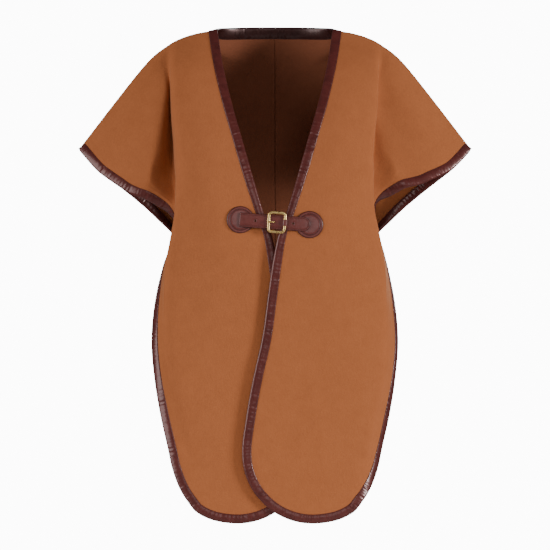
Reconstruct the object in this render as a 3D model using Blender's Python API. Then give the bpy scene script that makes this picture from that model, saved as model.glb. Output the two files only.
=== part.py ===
"""A collarless cape coat: two front panels and two backs, each cut in one with a short wing
that hangs over the arm, leather bindings on every free edge, and a strap with a buckle.

The coat is shown as worn. X runs to the wearer's left, -Y is its front and +Z is up.
The origin lies between the two neck points, where the shoulders carry it.
Tables and named sizes are in millimetres, with x counted out from the middle to a piece's
own side, and the meshes are in metres.
"""
import math

import bmesh
import bpy
import numpy as np
from mathutils import Vector
from mathutils.bvhtree import BVHTree
from mathutils.interpolate import poly_3d_calc

COAT = "cape_coat"
MM = 0.001
SAME_POINT = 1e-6
SHARP_FROM = 35
LEFT, RIGHT = 1, -1

# Finishes: colour in linear red, green and blue, roughness, metal
FINISHES = {
    "wool": (0.38, 0.15, 0.058, 0.9, 0.0),
    "leather": (0.12, 0.032, 0.03, 0.3, 0.0),
    "brass": (0.76, 0.52, 0.2, 0.25, 1.0),
}

# Cloth, seams and binding
WOOL = 2.5
SEAM_GAP = 0.3
LEAST_SINE = 0.6
LEAST_MITRE = 0.6
LEAST_HALF_ANGLE = 0.85
BIND_WIDTH = 15.5
NECK_WIDTH = 21.5
BIND_CLEAR = 0.5
BIND_LEATHER = 1.0
BIND_ROUND = 0.55
BIND_SLACK = 1.0
BIND_EDGE = 2.3

# Lines of a front panel: row down the panel, x out to its side, y, z
FRONT_EDGE = (
    (0, 107, 0, 0),
    (1, 98, -42, -60),
    (2, 82, -77, -130),
    (3, 62, -101, -200),
    (4, 42, -114, -270),
    (5, 24, -120, -331),
    (6, 7, -122, -380),
    (7, -6, -120, -450),
    (8, -21, -116, -560),
    (9, -45, -113, -670),
    (10, -57.5, -111, -770),
)
FRONT_CHEST = (
    (0, 150, 2, -8),
    (1, 143, -46, -66),
    (2, 134, -80, -134),
    (3, 122, -104, -202),
    (4, 112, -118, -269),
    (5, 104, -123, -331),
    (6, 98, -123, -383),
    (7, 97, -119, -452),
    (8, 84, -115, -562),
    (10, 44, -112, -771),
)
FRONT_RIDGE = (
    (0, 180, 3, -19),
    (1, 186, -36, -76),
    (2, 184, -60, -141),
    (3, 177, -76, -206),
    (4, 175, -85, -268),
    (5, 180, -88, -328),
    (6, 188, -86, -384),
    (7, 197, -84, -455),
    (8, 190, -97, -565),
    (10, 143, -107, -772),
)
FRONT_VALLEY = (
    (0, 198, 3, -30),
    (1, 192, -24, -93),
    (2, 190, -17, -163),
    (3, 187, -13, -226),
    (4, 183, -26, -275),
    (4.5, 181, -38, -301),
    (5, 176, -66, -328),
    (5.5, 180, -65, -356),
    (6, 187, -60, -385),
    (7, 202, -64, -455),
    (8, 202, -86, -565),
    (10, 159, -104, -772),
)
FRONT_CREST = (
    (0, 226, 0, -52),
    (1, 201, -35, -106),
    (2, 206, -50, -176),
    (3, 214, -57, -236),
    (4, 222, -56, -284),
    (4.5, 200, -51, -308),
    (5, 182, -49, -331),
    (5.5, 179, -42, -354),
    (6, 188, -34, -386),
    (7, 205, -47, -455),
    (8, 213, -76, -566),
    (10, 176, -101, -772),
)
FRONT_OUTER = (
    (0, 357, -8, -217),
    (1, 322, -26, -256),
    (2, 292, -38, -278),
    (3, 262, -47, -298),
    (4, 234, -52, -308),
    (4.5, 213, -46, -320),
    (5, 194, -36, -332),
    (5.5, 181, -20, -351),
    (6, 184, -12, -388),
    (7, 208, -30, -450),
    (8, 222, -66, -564),
    (9, 211, -84, -672),
    (10, 190.5, -96, -770),
)

# Lines of a back: row, x, y, z. The first line turns from the neck to the middle seam at row 1.
NECK_DEPTH = 58
NECK_RISE = 5
BACK_MIDDLE = (
    (1, 0, 58, 5),
    (2, 0, 82, -70),
    (3, 0, 97, -150),
    (4, 0, 103, -230),
    (5, 0, 101, -310),
    (6, 0, 97, -380),
    (7, 0, 95, -450),
    (10, 0, 100, -768),
)
BACK_BLADE = (
    (0, 150, 2, -8),
    (1, 66, 72, -60),
    (2, 78, 88, -112),
    (3, 85, 99, -174),
    (4, 88, 104, -238),
    (5, 90, 102, -316),
    (6, 90, 98, -383),
    (7, 90, 95, -450),
    (10, 85, 99, -768),
)
BACK_RIDGE = (
    (0, 180, 3, -19),
    (1, 150, 42, -42),
    (2, 155, 68, -112),
    (3, 160, 82, -185),
    (4, 163, 87, -258),
    (5, 160, 88, -330),
    (6, 146, 89, -388),
    (7, 146, 87, -450),
    (8, 160, 85, -560),
    (10, 140, 94, -768),
)
BACK_VALLEY = (
    (0, 198, 3, -30),
    (1, 185, 34, -72),
    (2, 182, 52, -138),
    (3, 181, 60, -206),
    (4, 180, 62, -274),
    (5, 178, 69, -339),
    (6, 160, 80, -390),
    (7, 160, 80, -450),
    (8, 177, 78, -560),
    (10, 158, 89, -768),
)
BACK_CREST = (
    (0, 226, 0, -52),
    (1, 215, 30, -104),
    (2, 206, 50, -166),
    (3, 204, 60, -230),
    (4, 203, 58, -291),
    (5, 193, 58, -345),
    (5.5, 178, 64, -368),
    (6, 170, 69, -391),
    (7, 172, 71, -450),
    (8, 192, 70, -560),
    (10, 173, 84, -768),
)
BACK_OUTER = (
    (0, 357, -8, -217),
    (1, 326, 8, -250),
    (2, 296, 20, -274),
    (3, 268, 28, -296),
    (4, 240, 36, -319),
    (5, 210, 44, -347),
    (5.5, 187, 49, -370),
    (6, 174, 54, -394),
    (7, 181, 58, -450),
    (8, 206, 60, -560),
    (9, 202, 68, -670),
    (10, 185, 76, -768),
)

# How the two fronts differ: the forward lap, the wing's fold, the lift of the wing hem and
# of its corner at the body, and how far the side edge turns back
SIDES = {
    LEFT: {"lap": -7.5, "valley_fill": 0.6, "valley_x": -10, "crest_x": -14, "crest_y": 12,
           "hem_lift": 20, "pit_lift": 12, "side_turn": 30},
    RIGHT: {"lap": 5, "valley_fill": 0.25, "valley_x": 0, "crest_x": 0, "crest_y": 0,
            "hem_lift": 0, "pit_lift": 0, "side_turn": 0},
}
LAP_FROM, LAP_FULL = 3.5, 6.0
PIT_ROW, PIT_SPAN = 5.6, 0.6
LAP_CHEST = 0.45
SIDE_TURN_FROM, SIDE_TURN_FULL = 6.0, 8.0

# Rounded ends of the panels
LAST_ROW = 10
FRONT_ROUND_ANGLE = 48
# The outer side of a front's round end: share of its depth, how far it stays inside the circle
FRONT_TRIM = ((0, 0), (0.1, 1.5), (0.25, 3.4), (0.4, 3.2), (0.54, 1.8), (0.69, -1.2),
              (0.76, -3.6), (0.83, -5.4), (0.9, -5.9), (0.96, -4.4), (1, 0))
BACK_ROUND = 98
BACK_ROUND_ANGLE = 45

# Mesh steps: columns between neighbouring lines, and rows from one named row to the next
COLUMNS = (3, 3, 3, 3, 3)
FRONT_ROWS = ((0, 1, 3), (1, 4, 5), (4, 6, 7), (6, 10, 6), (10, 11, 5))
BACK_ROWS = ((0, 1, 5), (1, 1.28, 1), (1.28, 4, 5), (4, 6, 4), (6, 10, 5), (10, 11, 5))
NECK_ROWS = 5
END_ROWS = 5
LENGTH_STEPS = 50
EVEN_FROM, EVEN_FULL = 7, 9.5
SETTLE_ROUNDS = 80

# Closure at the chest, placed from a plane ahead of the coat
AHEAD = -1000
PATCH_LEFT = (62.5, -356)
PATCH_RIGHT = (-63, -347)
# A patch reaches further under the strap: degrees from the strap's run, reach from its centre
PATCH_REACH = ((0, 23.5), (13, 23.8), (26, 24.8), (39, 25.2), (52, 24.5), (180, 24.5))
PATCH_SIDES = 28
PATCH_THICK = 2.4
PATCH_RIM = 1.5
PATCH_CLEAR = 0.5
STRAP_WIDTH = 26
STRAP_THICK = 2.4
STRAP_FROM, STRAP_TO = -1, 127
STRAP_STEPS = 12
STRAP_TESTS = 60
TIP_STEPS, TIP_ANGLE = 5, 78
STRAP_HOLES = (27.5, 62.5, 96)
HOLE_RADIUS = 1.8
HOLE_SIDES, HOLE_CUT = 12, 12
BUCKLE_WIDTH, BUCKLE_HEIGHT = 34, 39.5
BUCKLE_CORNER = 8
BUCKLE_BAR, BUCKLE_THICK = 4.6, 3.0
BUCKLE_AT = 66.5
FRAME_FLAT, FRAME_HIGH = 0.7, 1.5
CORNER_STEPS = 4
PRONG_RADIUS = 1.4
PRONG_SIDES = 8
LOOP_WIDTH, LOOP_LEATHER = 11, 1.2


def smooth(keys, place):
    """The values at a place on a smooth curve through rows of (place, values)."""
    keys = np.asarray(keys, float)
    knots, values = keys[:, 0], keys[:, 1:]
    step = np.diff(knots)[:, None]
    slope = np.diff(values, axis=0) / step
    inner = (slope[:-1] * step[1:] + slope[1:] * step[:-1]) / (step[:-1] + step[1:])
    lean = np.concatenate((slope[:1], inner, slope[-1:]))
    span = int(np.clip(np.searchsorted(knots, place, side="right") - 1, 0, len(knots) - 2))
    wide = step[span, 0]
    t = (place - knots[span]) / wide
    start, end = values[span], values[span + 1]
    return ((1 + 2 * t) * (1 - t) ** 2 * start + t * (1 - t) ** 2 * wide * lean[span]
            + t * t * (3 - 2 * t) * end + t * t * (t - 1) * wide * lean[span + 1])


def ease(value, low, high):
    """0 below low, 1 above high and a smooth step between them."""
    t = min(max((value - low) / (high - low), 0.0), 1.0)
    return t * t * (3 - 2 * t)


def front_stations(side, row):
    """The six points of one row of a front, from its front edge to its outer edge."""
    look = SIDES[side]
    along = min(row, LAST_ROW)
    tables = (FRONT_EDGE, FRONT_CHEST, FRONT_RIDGE, FRONT_VALLEY, FRONT_CREST, FRONT_OUTER)
    points = np.array([smooth(table, along) for table in tables])
    fold = ease(along, 0, 1.5) * (1 - ease(along, 4.5, 6))
    between = (points[2, 1] + points[4, 1]) / 2
    points[3, 0] += look["valley_x"] * fold
    points[3, 1] += (between - points[3, 1]) * look["valley_fill"] * fold
    high = fold * (1 - ease(along, 3, 4.5))
    points[4, 0] += look["crest_x"] * high
    points[4, 1] += look["crest_y"] * high
    lift = look["hem_lift"] * ease(along, 0, 4) * (1 - ease(along, 5, 7.5))
    points[3, 2] += lift * ease(along, 3, 4.5)
    points[4, 2] += lift * ease(along, 2, 4)
    pit = look["pit_lift"] * math.exp(-((along - PIT_ROW) / PIT_SPAN) ** 2)
    points[4, 2] += pit / 2
    points[5, 2] += lift + pit
    turn = look["side_turn"] * ease(along, SIDE_TURN_FROM, SIDE_TURN_FULL)
    points[4, 1] += turn / 2
    points[5, 1] += turn
    lap = look["lap"] * ease(along, LAP_FROM, LAP_FULL)
    points[0, 1] += lap
    points[1, 1] += lap * LAP_CHEST
    return points


def back_stations(row):
    """The six points of one row of a back, from the neck or middle seam to its outer edge."""
    along = min(row, LAST_ROW)
    tables = (BACK_BLADE, BACK_RIDGE, BACK_VALLEY, BACK_CREST, BACK_OUTER)
    points = [smooth(table, along) for table in tables]
    if row < 1:
        turn = row * math.pi / 2
        neck = (FRONT_EDGE[0][1] * math.cos(turn), NECK_DEPTH * math.sin(turn),
                NECK_RISE * math.sin(turn))
        points.insert(0, np.array(neck))
    else:
        points.insert(0, smooth(BACK_MIDDLE, along))
    return np.array(points)


def across(stations, row, widths):
    """Points across one row on a smooth curve through its stations. The first and last step
    have the given widths, and down the panel the others leave the folds and spread evenly."""
    chords = np.linalg.norm(np.diff(stations, axis=0), axis=1)
    knots = np.concatenate(([0.0], np.cumsum(np.sqrt(chords))))
    keys = np.column_stack((knots, stations))
    places = [knots[0]]
    for count, start, end in zip(COLUMNS, knots[:-1], knots[1:]):
        places += [start + (end - start) * (k + 1) / count for k in range(count)]
    fine = np.linspace(knots[0], knots[-1], LENGTH_STEPS)
    curve = np.array([smooth(keys, place) for place in fine])
    steps = np.linalg.norm(np.diff(curve, axis=0), axis=1)
    length = np.concatenate(([0.0], np.cumsum(steps)))
    even = np.interp(np.linspace(0, length[-1], len(places)), length, fine)
    spread = ease(row, EVEN_FROM, EVEN_FULL)
    places = np.array(places) * (1 - spread) + even * spread
    ends = np.interp((widths[0], length[-1] - widths[1]), length, fine)
    places[1:-1] = np.interp(places[1:-1], places[[1, -2]], ends)
    return np.array([smooth(keys, place) for place in places])


def front_row(side, row, widths):
    """One row of a front; past the last table row the panel closes in a half round."""
    points = across(front_stations(side, row), row, widths)
    if row <= LAST_ROW:
        return points
    angle = math.radians(FRONT_ROUND_ANGLE) * (row - LAST_ROW)
    last = math.radians(FRONT_ROUND_ANGLE)
    middle = (points[0, 0] + points[-1, 0]) / 2
    radius = (points[-1, 0] - points[0, 0]) / 2
    share = (points[:, 0] - middle) / radius
    arc = np.sqrt(1 - (share * math.cos(last)) ** 2) - math.sin(last)
    depth = math.sin(angle) + arc * (row - LAST_ROW) ** 2
    wide = np.sqrt(np.maximum(1 - depth ** 2, SAME_POINT))
    trim = np.array([smooth(FRONT_TRIM, place)[0] for place in depth])
    trim *= np.clip(share * math.cos(angle) / wide, 0, 1)
    points[:, 0] = middle + radius * share * math.cos(angle) - trim
    points[:, 2] -= radius * depth
    return points


def back_row(row, widths):
    """One row of a back; past the last table row its outer corner is rounded."""
    points = across(back_stations(row), row, widths)
    if row <= LAST_ROW:
        return points
    angle = math.radians(BACK_ROUND_ANGLE) * (row - LAST_ROW)
    last = math.radians(BACK_ROUND_ANGLE)
    outer = points[-1, 0]
    points[:, 0] *= (outer - BACK_ROUND * (1 - math.cos(angle))) / outer
    past = points[:, 0] / points[-1, 0] * (outer - BACK_ROUND * (1 - math.cos(last)))
    past = np.maximum(past - outer + BACK_ROUND, 0) / BACK_ROUND
    arc = np.sqrt(1 - past ** 2) - math.sin(last)
    points[:, 2] -= BACK_ROUND * (math.sin(angle) + arc * (row - LAST_ROW) ** 2)
    return points


def row_places(steps):
    places = [0.0]
    for start, end, count in steps:
        places += [start + (end - start) * (k + 1) / count for k in range(count)]
    return places


def settle_end(grid, seam):
    """Place the cells of a rounded end: those along the edge are as wide as the binding and the
    others spread between them. A seam down the first column keeps its points on its line."""
    last, columns = grid.shape[0] - 1, grid.shape[1]
    first = last - END_ROWS
    profile = grid[first]
    flat = grid[:, :, (0, 2)]
    rim = [(last, column) for column in range(columns)]
    rim += [(row, columns - 1) for row in range(last - 1, first, -1)]
    near = 0
    if not seam:
        rim = [(row, 0) for row in range(first + 1, last)] + rim
        near = 1
    line = np.array([flat[place] for place in rim])
    along = np.gradient(line, axis=0)
    inward = np.column_stack((-along[:, 1], along[:, 0]))
    inward /= np.linalg.norm(inward, axis=1, keepdims=True)
    corners = ((last, columns - 1),) if seam else ((last, 0), (last, columns - 1))
    places = list(zip(rim, line + inward * BIND_WIDTH))
    for (row, column), spot in sorted(places, key=lambda place: place[0] in corners):
        flat[min(row, last - 1), min(max(column, near), columns - 2)] = spot
    top, bottom = first + 1, last - 1
    for _ in range(SETTLE_ROUNDS):
        flat[top:bottom, near + 1:columns - 2] = (
            flat[top - 1:bottom - 1, near + 1:columns - 2]
            + flat[top + 1:bottom + 1, near + 1:columns - 2]
            + flat[top:bottom, near:columns - 3] + flat[top:bottom, near + 2:columns - 1]) / 4
        if seam:
            flat[top:bottom, 0] = (flat[top - 1:bottom - 1, 0] + flat[top + 1:bottom + 1, 0]) / 2
    grid[top:, :, 0] = flat[top:, :, 0]
    grid[top:, :, 1] = np.interp(flat[top:, :, 0], profile[:, 0], profile[:, 1])
    grid[top:, :, 2] = flat[top:, :, 1]


def half_cells(corner, columns):
    """The two triangles of one cell of a grid, cut so that round ends keep their corners."""
    below = corner + columns
    if corner % columns < columns // 2:
        return [(corner, corner + 1, below), (corner + 1, below + 1, below)]
    return [(corner, corner + 1, below + 1), (corner, below + 1, below)]


def grid_faces(rows, columns):
    return [half for row in range(rows - 1) for column in range(columns - 1)
            for half in half_cells(row * columns + column, columns)]


class Panel:
    """One cut piece of cloth: a grid of points and, at each, the way out of the cloth."""

    def __init__(self, make_row, steps, side, facing, seam_from=None):
        rows = row_places(steps)
        widths = np.full((len(rows), 2), BIND_WIDTH)
        grid = np.array([make_row(row, width) for row, width in zip(rows, widths)])
        for column, step, ends in ((0, 1, seam_from or len(rows)), (-1, -1, len(rows))):
            edge = grid[:ends + 1, column]
            along = np.gradient(edge, axis=0)
            row_way = grid[:len(edge), column + step] - edge
            sine = np.linalg.norm(np.cross(along, row_way), axis=1)
            sine /= np.linalg.norm(along, axis=1) * np.linalg.norm(row_way, axis=1)
            widths[1:len(edge), column] = BIND_WIDTH / np.maximum(sine[1:], LEAST_SINE)
        widths[-END_ROWS:] = BIND_WIDTH
        if seam_from:
            widths[1:seam_from + 1, 0] *= NECK_WIDTH / BIND_WIDTH
        grid = np.array([make_row(row, width) for row, width in zip(rows, widths)])
        settle_end(grid, seam_from is not None)
        grid[:, :, 0] *= side
        self.points = grid
        self.out = self.ways_out(side * facing)
        size = grid.shape[1]
        self.links = {(divmod(a, size), divmod(b, size))
                      for face in grid_faces(len(rows), size)
                      for a in face for b in face if a != b}

    def bound(self, name):
        """Grid places along an edge, each with the place a binding's width inside it."""
        last, end = self.points.shape[0] - 1, self.points.shape[1] - 1
        if name == "first":
            return [((row, 0), (row, 1)) for row in range(last)]
        if name == "outer":
            return [((row, end), (row, end - 1)) for row in range(last)]
        if name == "neck":
            pairs = [((row, 0), (row, 1)) for row in range(NECK_ROWS + 1)]
            return pairs + [((NECK_ROWS, 0), (NECK_ROWS + 1, 0))]
        pairs = [((last, column), (last - 1, column)) for column in range(1, end)]
        near = ((last, 0), (last - 1, 0 if name == "hem" else 1))
        return [near] + pairs + [((last, end), (last - 1, end - 1))]

    def ways_out(self, sign):
        """Normals at the points, lengthened at folds so that the wall keeps its thickness."""
        normal = np.zeros_like(self.points)
        flat_points = self.points.reshape(-1, 3)
        flat_normal = normal.reshape(-1, 3)
        rows, columns = self.points.shape[:2]
        for a, b, c in grid_faces(rows, columns):
            face = np.cross(flat_points[b] - flat_points[a], flat_points[c] - flat_points[a])
            for corner in (a, b, c):
                flat_normal[corner] += face * sign
        normal /= np.linalg.norm(normal, axis=2, keepdims=True)
        self.normal = normal
        lean = np.ones(normal.shape[:2])
        for step_row, step_column in ((1, 0), (0, 1)):
            beside = np.roll(normal, (step_row, step_column), axis=(0, 1))
            cosine = np.clip((normal * beside).sum(axis=2), 0, 1)
            inside = cosine[step_row:, step_column:]
            lean[step_row:, step_column:] = np.minimum(lean[step_row:, step_column:], inside)
        half_angle = np.sqrt((1 + lean) / 2)
        return normal / np.maximum(half_angle, LEAST_HALF_ANGLE)[:, :, None]

    def edge(self, name):
        """Grid places along one edge: neck or front edge, end, outer edge."""
        rows, columns = self.points.shape[:2]
        if name == "first":
            return [(row, 0) for row in range(rows)]
        if name == "end":
            return [(rows - 1, column) for column in range(columns)]
        return [(row, columns - 1) for row in range(rows)]


def join_at_seam(first, second, places):
    """Mitre two panels where they meet and part them by the seam gap."""
    for row, column in places:
        shared = first.normal[row, column] + second.normal[row, column]
        shared /= np.linalg.norm(shared)
        lean = max(float(shared @ first.normal[row, column]), LEAST_MITRE)
        for panel in (first, second):
            panel.out[row, column] = shared / lean
    for panel in (first, second):
        for row, column in places:
            inward = panel.points[row + 1, column] if row == 0 else panel.points[row, column + 1]
            away = inward - panel.points[row, column]
            shared = panel.out[row, column] / np.linalg.norm(panel.out[row, column])
            away -= shared * (away @ shared)
            away /= np.linalg.norm(away)
            panel.points[row, column] += away * SEAM_GAP / 2


def new_object(name, points, faces, material):
    """A closed mesh object from points in millimetres."""
    mesh = bpy.data.meshes.new(name)
    mesh.from_pydata([tuple(point) for point in np.asarray(points) * MM], [], faces)
    tidy = bmesh.new()
    tidy.from_mesh(mesh)
    bmesh.ops.remove_doubles(tidy, verts=tidy.verts, dist=SAME_POINT)
    bmesh.ops.recalc_face_normals(tidy, faces=tidy.faces)
    tidy.to_mesh(mesh)
    tidy.free()
    mesh.shade_smooth()
    mesh.set_sharp_from_angle(angle=math.radians(SHARP_FROM))
    made = bpy.data.objects.new(name, mesh)
    bpy.data.collections[COAT].objects.link(made)
    red, green, blue, roughness, metallic = FINISHES[material]
    finish = bpy.data.materials.new(f"{material}_{name}")
    finish.use_nodes = True
    surface = finish.node_tree.nodes["Principled BSDF"]
    surface.inputs["Base Color"].default_value = (red, green, blue, 1)
    surface.inputs["Roughness"].default_value = roughness
    surface.inputs["Metallic"].default_value = metallic
    mesh.materials.append(finish)
    return made


def cloth_wall(name, panel):
    """The panel's wall of wool, half its thickness to each side of the points."""
    rows, columns = panel.points.shape[:2]
    half = WOOL / 2
    skins = [panel.points + panel.out * half, panel.points - panel.out * half]
    points = np.concatenate([skin.reshape(-1, 3) for skin in skins])
    other = rows * columns
    faces = grid_faces(rows, columns)
    faces += [(c + other, b + other, a + other) for a, b, c in faces]
    rim = panel.edge("first") + panel.edge("end")[1:]
    rim += panel.edge("outer")[-2::-1] + [(0, column) for column in range(columns - 2, 0, -1)]
    rim = [row * columns + column for row, column in rim]
    for here, after in zip(rim, rim[1:] + rim[:1]):
        faces.append((here, after, after + other, here + other))
    return new_object(name, points, faces, "wool")


class Cloth:
    """The middle surface of some panels, to find places on it and the way out there."""

    def __init__(self, panels):
        points, outs, faces = [], [], []
        for panel in panels:
            rows, columns = panel.points.shape[:2]
            base = len(points)
            points += [Vector(point) for point in panel.points.reshape(-1, 3)]
            outs += [Vector(out) for out in panel.out.reshape(-1, 3)]
            faces += [(base + a, base + b, base + c) for a, b, c in grid_faces(rows, columns)]
        self.points, self.outs, self.faces = points, outs, faces
        self.tree = BVHTree.FromPolygons(points, faces)

    def way_out(self, place, face):
        corners = self.faces[face]
        weights = poly_3d_calc([self.points[corner] for corner in corners], place)
        way = Vector((0, 0, 0))
        for weight, corner in zip(weights, corners):
            way += self.outs[corner] * weight
        return way

    def ahead(self, x, z):
        """Where a line from the front meets the cloth, or None beside it."""
        place, _, face, _ = self.tree.ray_cast(Vector((x, AHEAD, z)), Vector((0, 1, 0)))
        if place is None:
            return None
        return np.array(place), np.array(self.way_out(place, face))


def binding_ring(edge, out, inward, inner, inner_out):
    """One section of the folded leather round an edge, from its rim outside to its rim inside
    and back along the cloth."""
    above = WOOL / 2 + BIND_CLEAR
    over = above + BIND_LEATHER
    fold = edge - inward * BIND_EDGE
    lining = edge - inward * BIND_SLACK
    return [
        inner + inner_out * over,
        edge + out * over,
        fold + out * over * BIND_ROUND,
        fold - out * over * BIND_ROUND,
        edge - out * over,
        inner - inner_out * over,
        inner - inner_out * above,
        lining - out * above,
        lining + out * above,
        inner + inner_out * above,
    ]


def edge_groups(runs):
    """The spots of the runs, gathered where neighbours share one edge point."""
    groups = []
    for panel, run in runs:
        for edge, inner in run:
            spot = {"edge": panel.points[edge], "out": panel.out[edge],
                    "inner": panel.points[inner], "inner_out": panel.out[inner],
                    "panel": panel, "place": (edge, inner)}
            if groups and np.linalg.norm(spot["edge"] - groups[-1][-1]["edge"]) < 2 * SEAM_GAP:
                groups[-1].append(spot)
            else:
                groups.append([spot])
    return groups


def binding(name, runs):
    """Leather folded over the edges that the runs list, each run on one panel. Its inside
    follows the cloth's own cells."""
    groups = edge_groups(runs)
    edges = np.array([np.mean([spot["edge"] for spot in group], axis=0) for group in groups])
    along = np.gradient(edges, axis=0)
    rings, spots = [], []
    for index, group in enumerate(groups):
        edge = edges[index]
        out = np.mean([spot["out"] for spot in group], axis=0)
        inward = np.cross(out, along[index])
        inward *= np.sign(inward @ (group[0]["inner"] - edge))
        if index in (0, len(groups) - 1):
            inward = group[0]["inner"] - edge
            inward -= out * (inward @ out) / (out @ out)
        inward /= np.linalg.norm(inward)
        for spot in group:
            rings.append(binding_ring(edge, out, inward, spot["inner"], spot["inner_out"]))
            spots.append(spot)
    size = len(rings[0])
    points = np.concatenate(rings)
    faces = []
    for ring, (here_spot, next_spot) in enumerate(zip(spots, spots[1:])):
        crossed = (here_spot["place"][0], next_spot["place"][1]) in here_spot["panel"].links
        for corner in range(size):
            here, side = ring * size + corner, ring * size + (corner + 1) % size
            edge_first = corner in (3, 4, 8)
            if crossed == edge_first:
                faces += [(here, side, side + size), (here, side + size, here + size)]
            else:
                faces += [(here, side, here + size), (side, side + size, here + size)]
    for base in (0, len(points) - size):
        for cap in ((0, 1, 8, 9), (1, 2, 8), (2, 3, 7, 8), (3, 4, 7), (4, 5, 6, 7)):
            faces.append(tuple(base + corner for corner in cap))
    return new_object(name, points, faces, "leather")


class Strap:
    """Where the strap runs: straight in the front view, and taut over what lies below it."""

    def __init__(self, cloth):
        self.start = np.array(PATCH_RIGHT, float)
        run = np.array(PATCH_LEFT) - self.start
        self.length = float(np.linalg.norm(run))
        self.run = run / self.length
        self.rests = self.taut(cloth)

    def spot(self, along, across_by):
        x = self.start[0] + self.run[0] * along - self.run[1] * across_by
        z = self.start[1] + self.run[1] * along + self.run[0] * across_by
        return x, z

    def taut(self, cloth):
        """Resting points (along, y) of a band pulled tight over the patches and bindings."""
        reach = PATCH_REACH[0][1] + 1
        patched = WOOL / 2 + PATCH_CLEAR + PATCH_THICK + SEAM_GAP
        bound = WOOL / 2 + BIND_CLEAR + BIND_LEATHER + SEAM_GAP
        needs = []
        for along in np.linspace(STRAP_FROM - 2, STRAP_TO + 2, STRAP_TESTS):
            on_patch = min(abs(along), abs(along - self.length)) < reach
            found = [cloth.ahead(*self.spot(along, across_by))
                     for across_by in (-STRAP_WIDTH / 2, 0, STRAP_WIDTH / 2)]
            forward = [spot[0][1] for spot in found if spot]
            if forward:
                needs.append((along, min(forward) - (patched if on_patch else bound)))
        hull = []
        for point in needs:
            while len(hull) > 1 and not self.bends_out(hull[-2], hull[-1], point):
                hull.pop()
            hull.append(point)
        return np.array(hull)

    @staticmethod
    def bends_out(first, second, third):
        rise = (second[0] - first[0]) * (third[1] - first[1])
        return rise - (second[1] - first[1]) * (third[0] - first[0]) > 0

    def place(self, along, across_by, lift):
        """A point of the strap: along its run, across it and out from its back."""
        x, z = self.spot(along, across_by)
        y = np.interp(along, self.rests[:, 0], self.rests[:, 1])
        return np.array((x, y - lift, z))


def patch(name, cloth, centre, other_centre):
    """A leather patch laid on the cloth, round but for its neck towards the other patch."""
    under = WOOL / 2 + PATCH_CLEAR
    rings = ((0.35, under), (0.7, under), (1.0, under), (1.0, under + PATCH_RIM),
             (0.95, under + PATCH_THICK), (0.7, under + PATCH_THICK), (0.35, under + PATCH_THICK))
    sides = PATCH_SIDES
    degrees, reaches = zip(*PATCH_REACH)
    turn = math.atan2(other_centre[1] - centre[1], other_centre[0] - centre[0])
    points, faces = [], []
    for share, height in rings:
        for corner in range(sides):
            angle = 360 * corner / sides
            reach = np.interp(min(angle, 360 - angle), degrees, reaches) * share
            x = centre[0] + reach * math.cos(turn + math.radians(angle))
            z = centre[1] + reach * math.sin(turn + math.radians(angle))
            place, out = cloth.ahead(x, z)
            points.append(place + out * height)
    for ring in range(len(rings) - 1):
        for corner in range(sides):
            here, after = ring * sides + corner, ring * sides + (corner + 1) % sides
            faces.append((here, after, after + sides, here + sides))
    for ring, height in ((0, under), (len(rings) - 1, under + PATCH_THICK)):
        place, out = cloth.ahead(*centre)
        points.append(place + out * height)
        for corner in range(sides):
            here, after = ring * sides + corner, ring * sides + (corner + 1) % sides
            faces.append((here, after, len(points) - 1))
    return new_object(name, points, faces, "leather")


def strap(run):
    """The strap: a flat band with a square start, a round tip and three holes."""
    half = STRAP_WIDTH / 2
    straight = STRAP_TO - half - STRAP_FROM
    steps = [(STRAP_FROM + straight * k / STRAP_STEPS, half) for k in range(STRAP_STEPS + 1)]
    for k in range(1, TIP_STEPS + 1):
        angle = math.radians(TIP_ANGLE) * k / TIP_STEPS
        steps.append((STRAP_TO - half + half * math.sin(angle), half * math.cos(angle)))
    points, faces = [], []
    for along, wide in steps:
        for across_by, lift in ((-wide, 0), (wide, 0), (wide, STRAP_THICK), (-wide, STRAP_THICK)):
            points.append(run.place(along, across_by, lift))
    for step in range(len(steps) - 1):
        for corner in range(4):
            here, after = step * 4 + corner, step * 4 + (corner + 1) % 4
            faces.append((here, after, after + 4, here + 4))
    last = 4 * (len(steps) - 1)
    faces += [(0, 1, 2, 3), (last, last + 1, last + 2, last + 3)]
    band = new_object("strap", points, faces, "leather")
    for number, along in enumerate(STRAP_HOLES):
        middle = run.place(along, 0, STRAP_THICK / 2) * MM
        bpy.ops.mesh.primitive_cylinder_add(
            vertices=HOLE_SIDES, radius=HOLE_RADIUS * MM, depth=HOLE_CUT * MM, location=middle,
            rotation=(math.pi / 2, 0, 0))
        cutter = bpy.context.object
        cutter.name = f"hole_cutter_{number}"
        cutter.hide_render = True
        cutter.display_type = "WIRE"
        for home in list(cutter.users_collection):
            home.objects.unlink(cutter)
        bpy.data.collections["cutters"].objects.link(cutter)
        cut = band.modifiers.new(cutter.name, "BOOLEAN")
        cut.object = cutter
    return band


def swept_ring(path, section):
    """Points and faces of a section carried round a closed path of (point, out, up)."""
    points, faces = [], []
    for place, away, up in path:
        points += [place + away * wide + up * high for wide, high in section]
    size, count = len(section), len(path)
    for step in range(count):
        for corner in range(size):
            here, after = step * size + corner, step * size + (corner + 1) % size
            ahead = (step + 1) % count * size
            faces.append((here, after, ahead + (corner + 1) % size, ahead + corner))
    return points, faces


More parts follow.
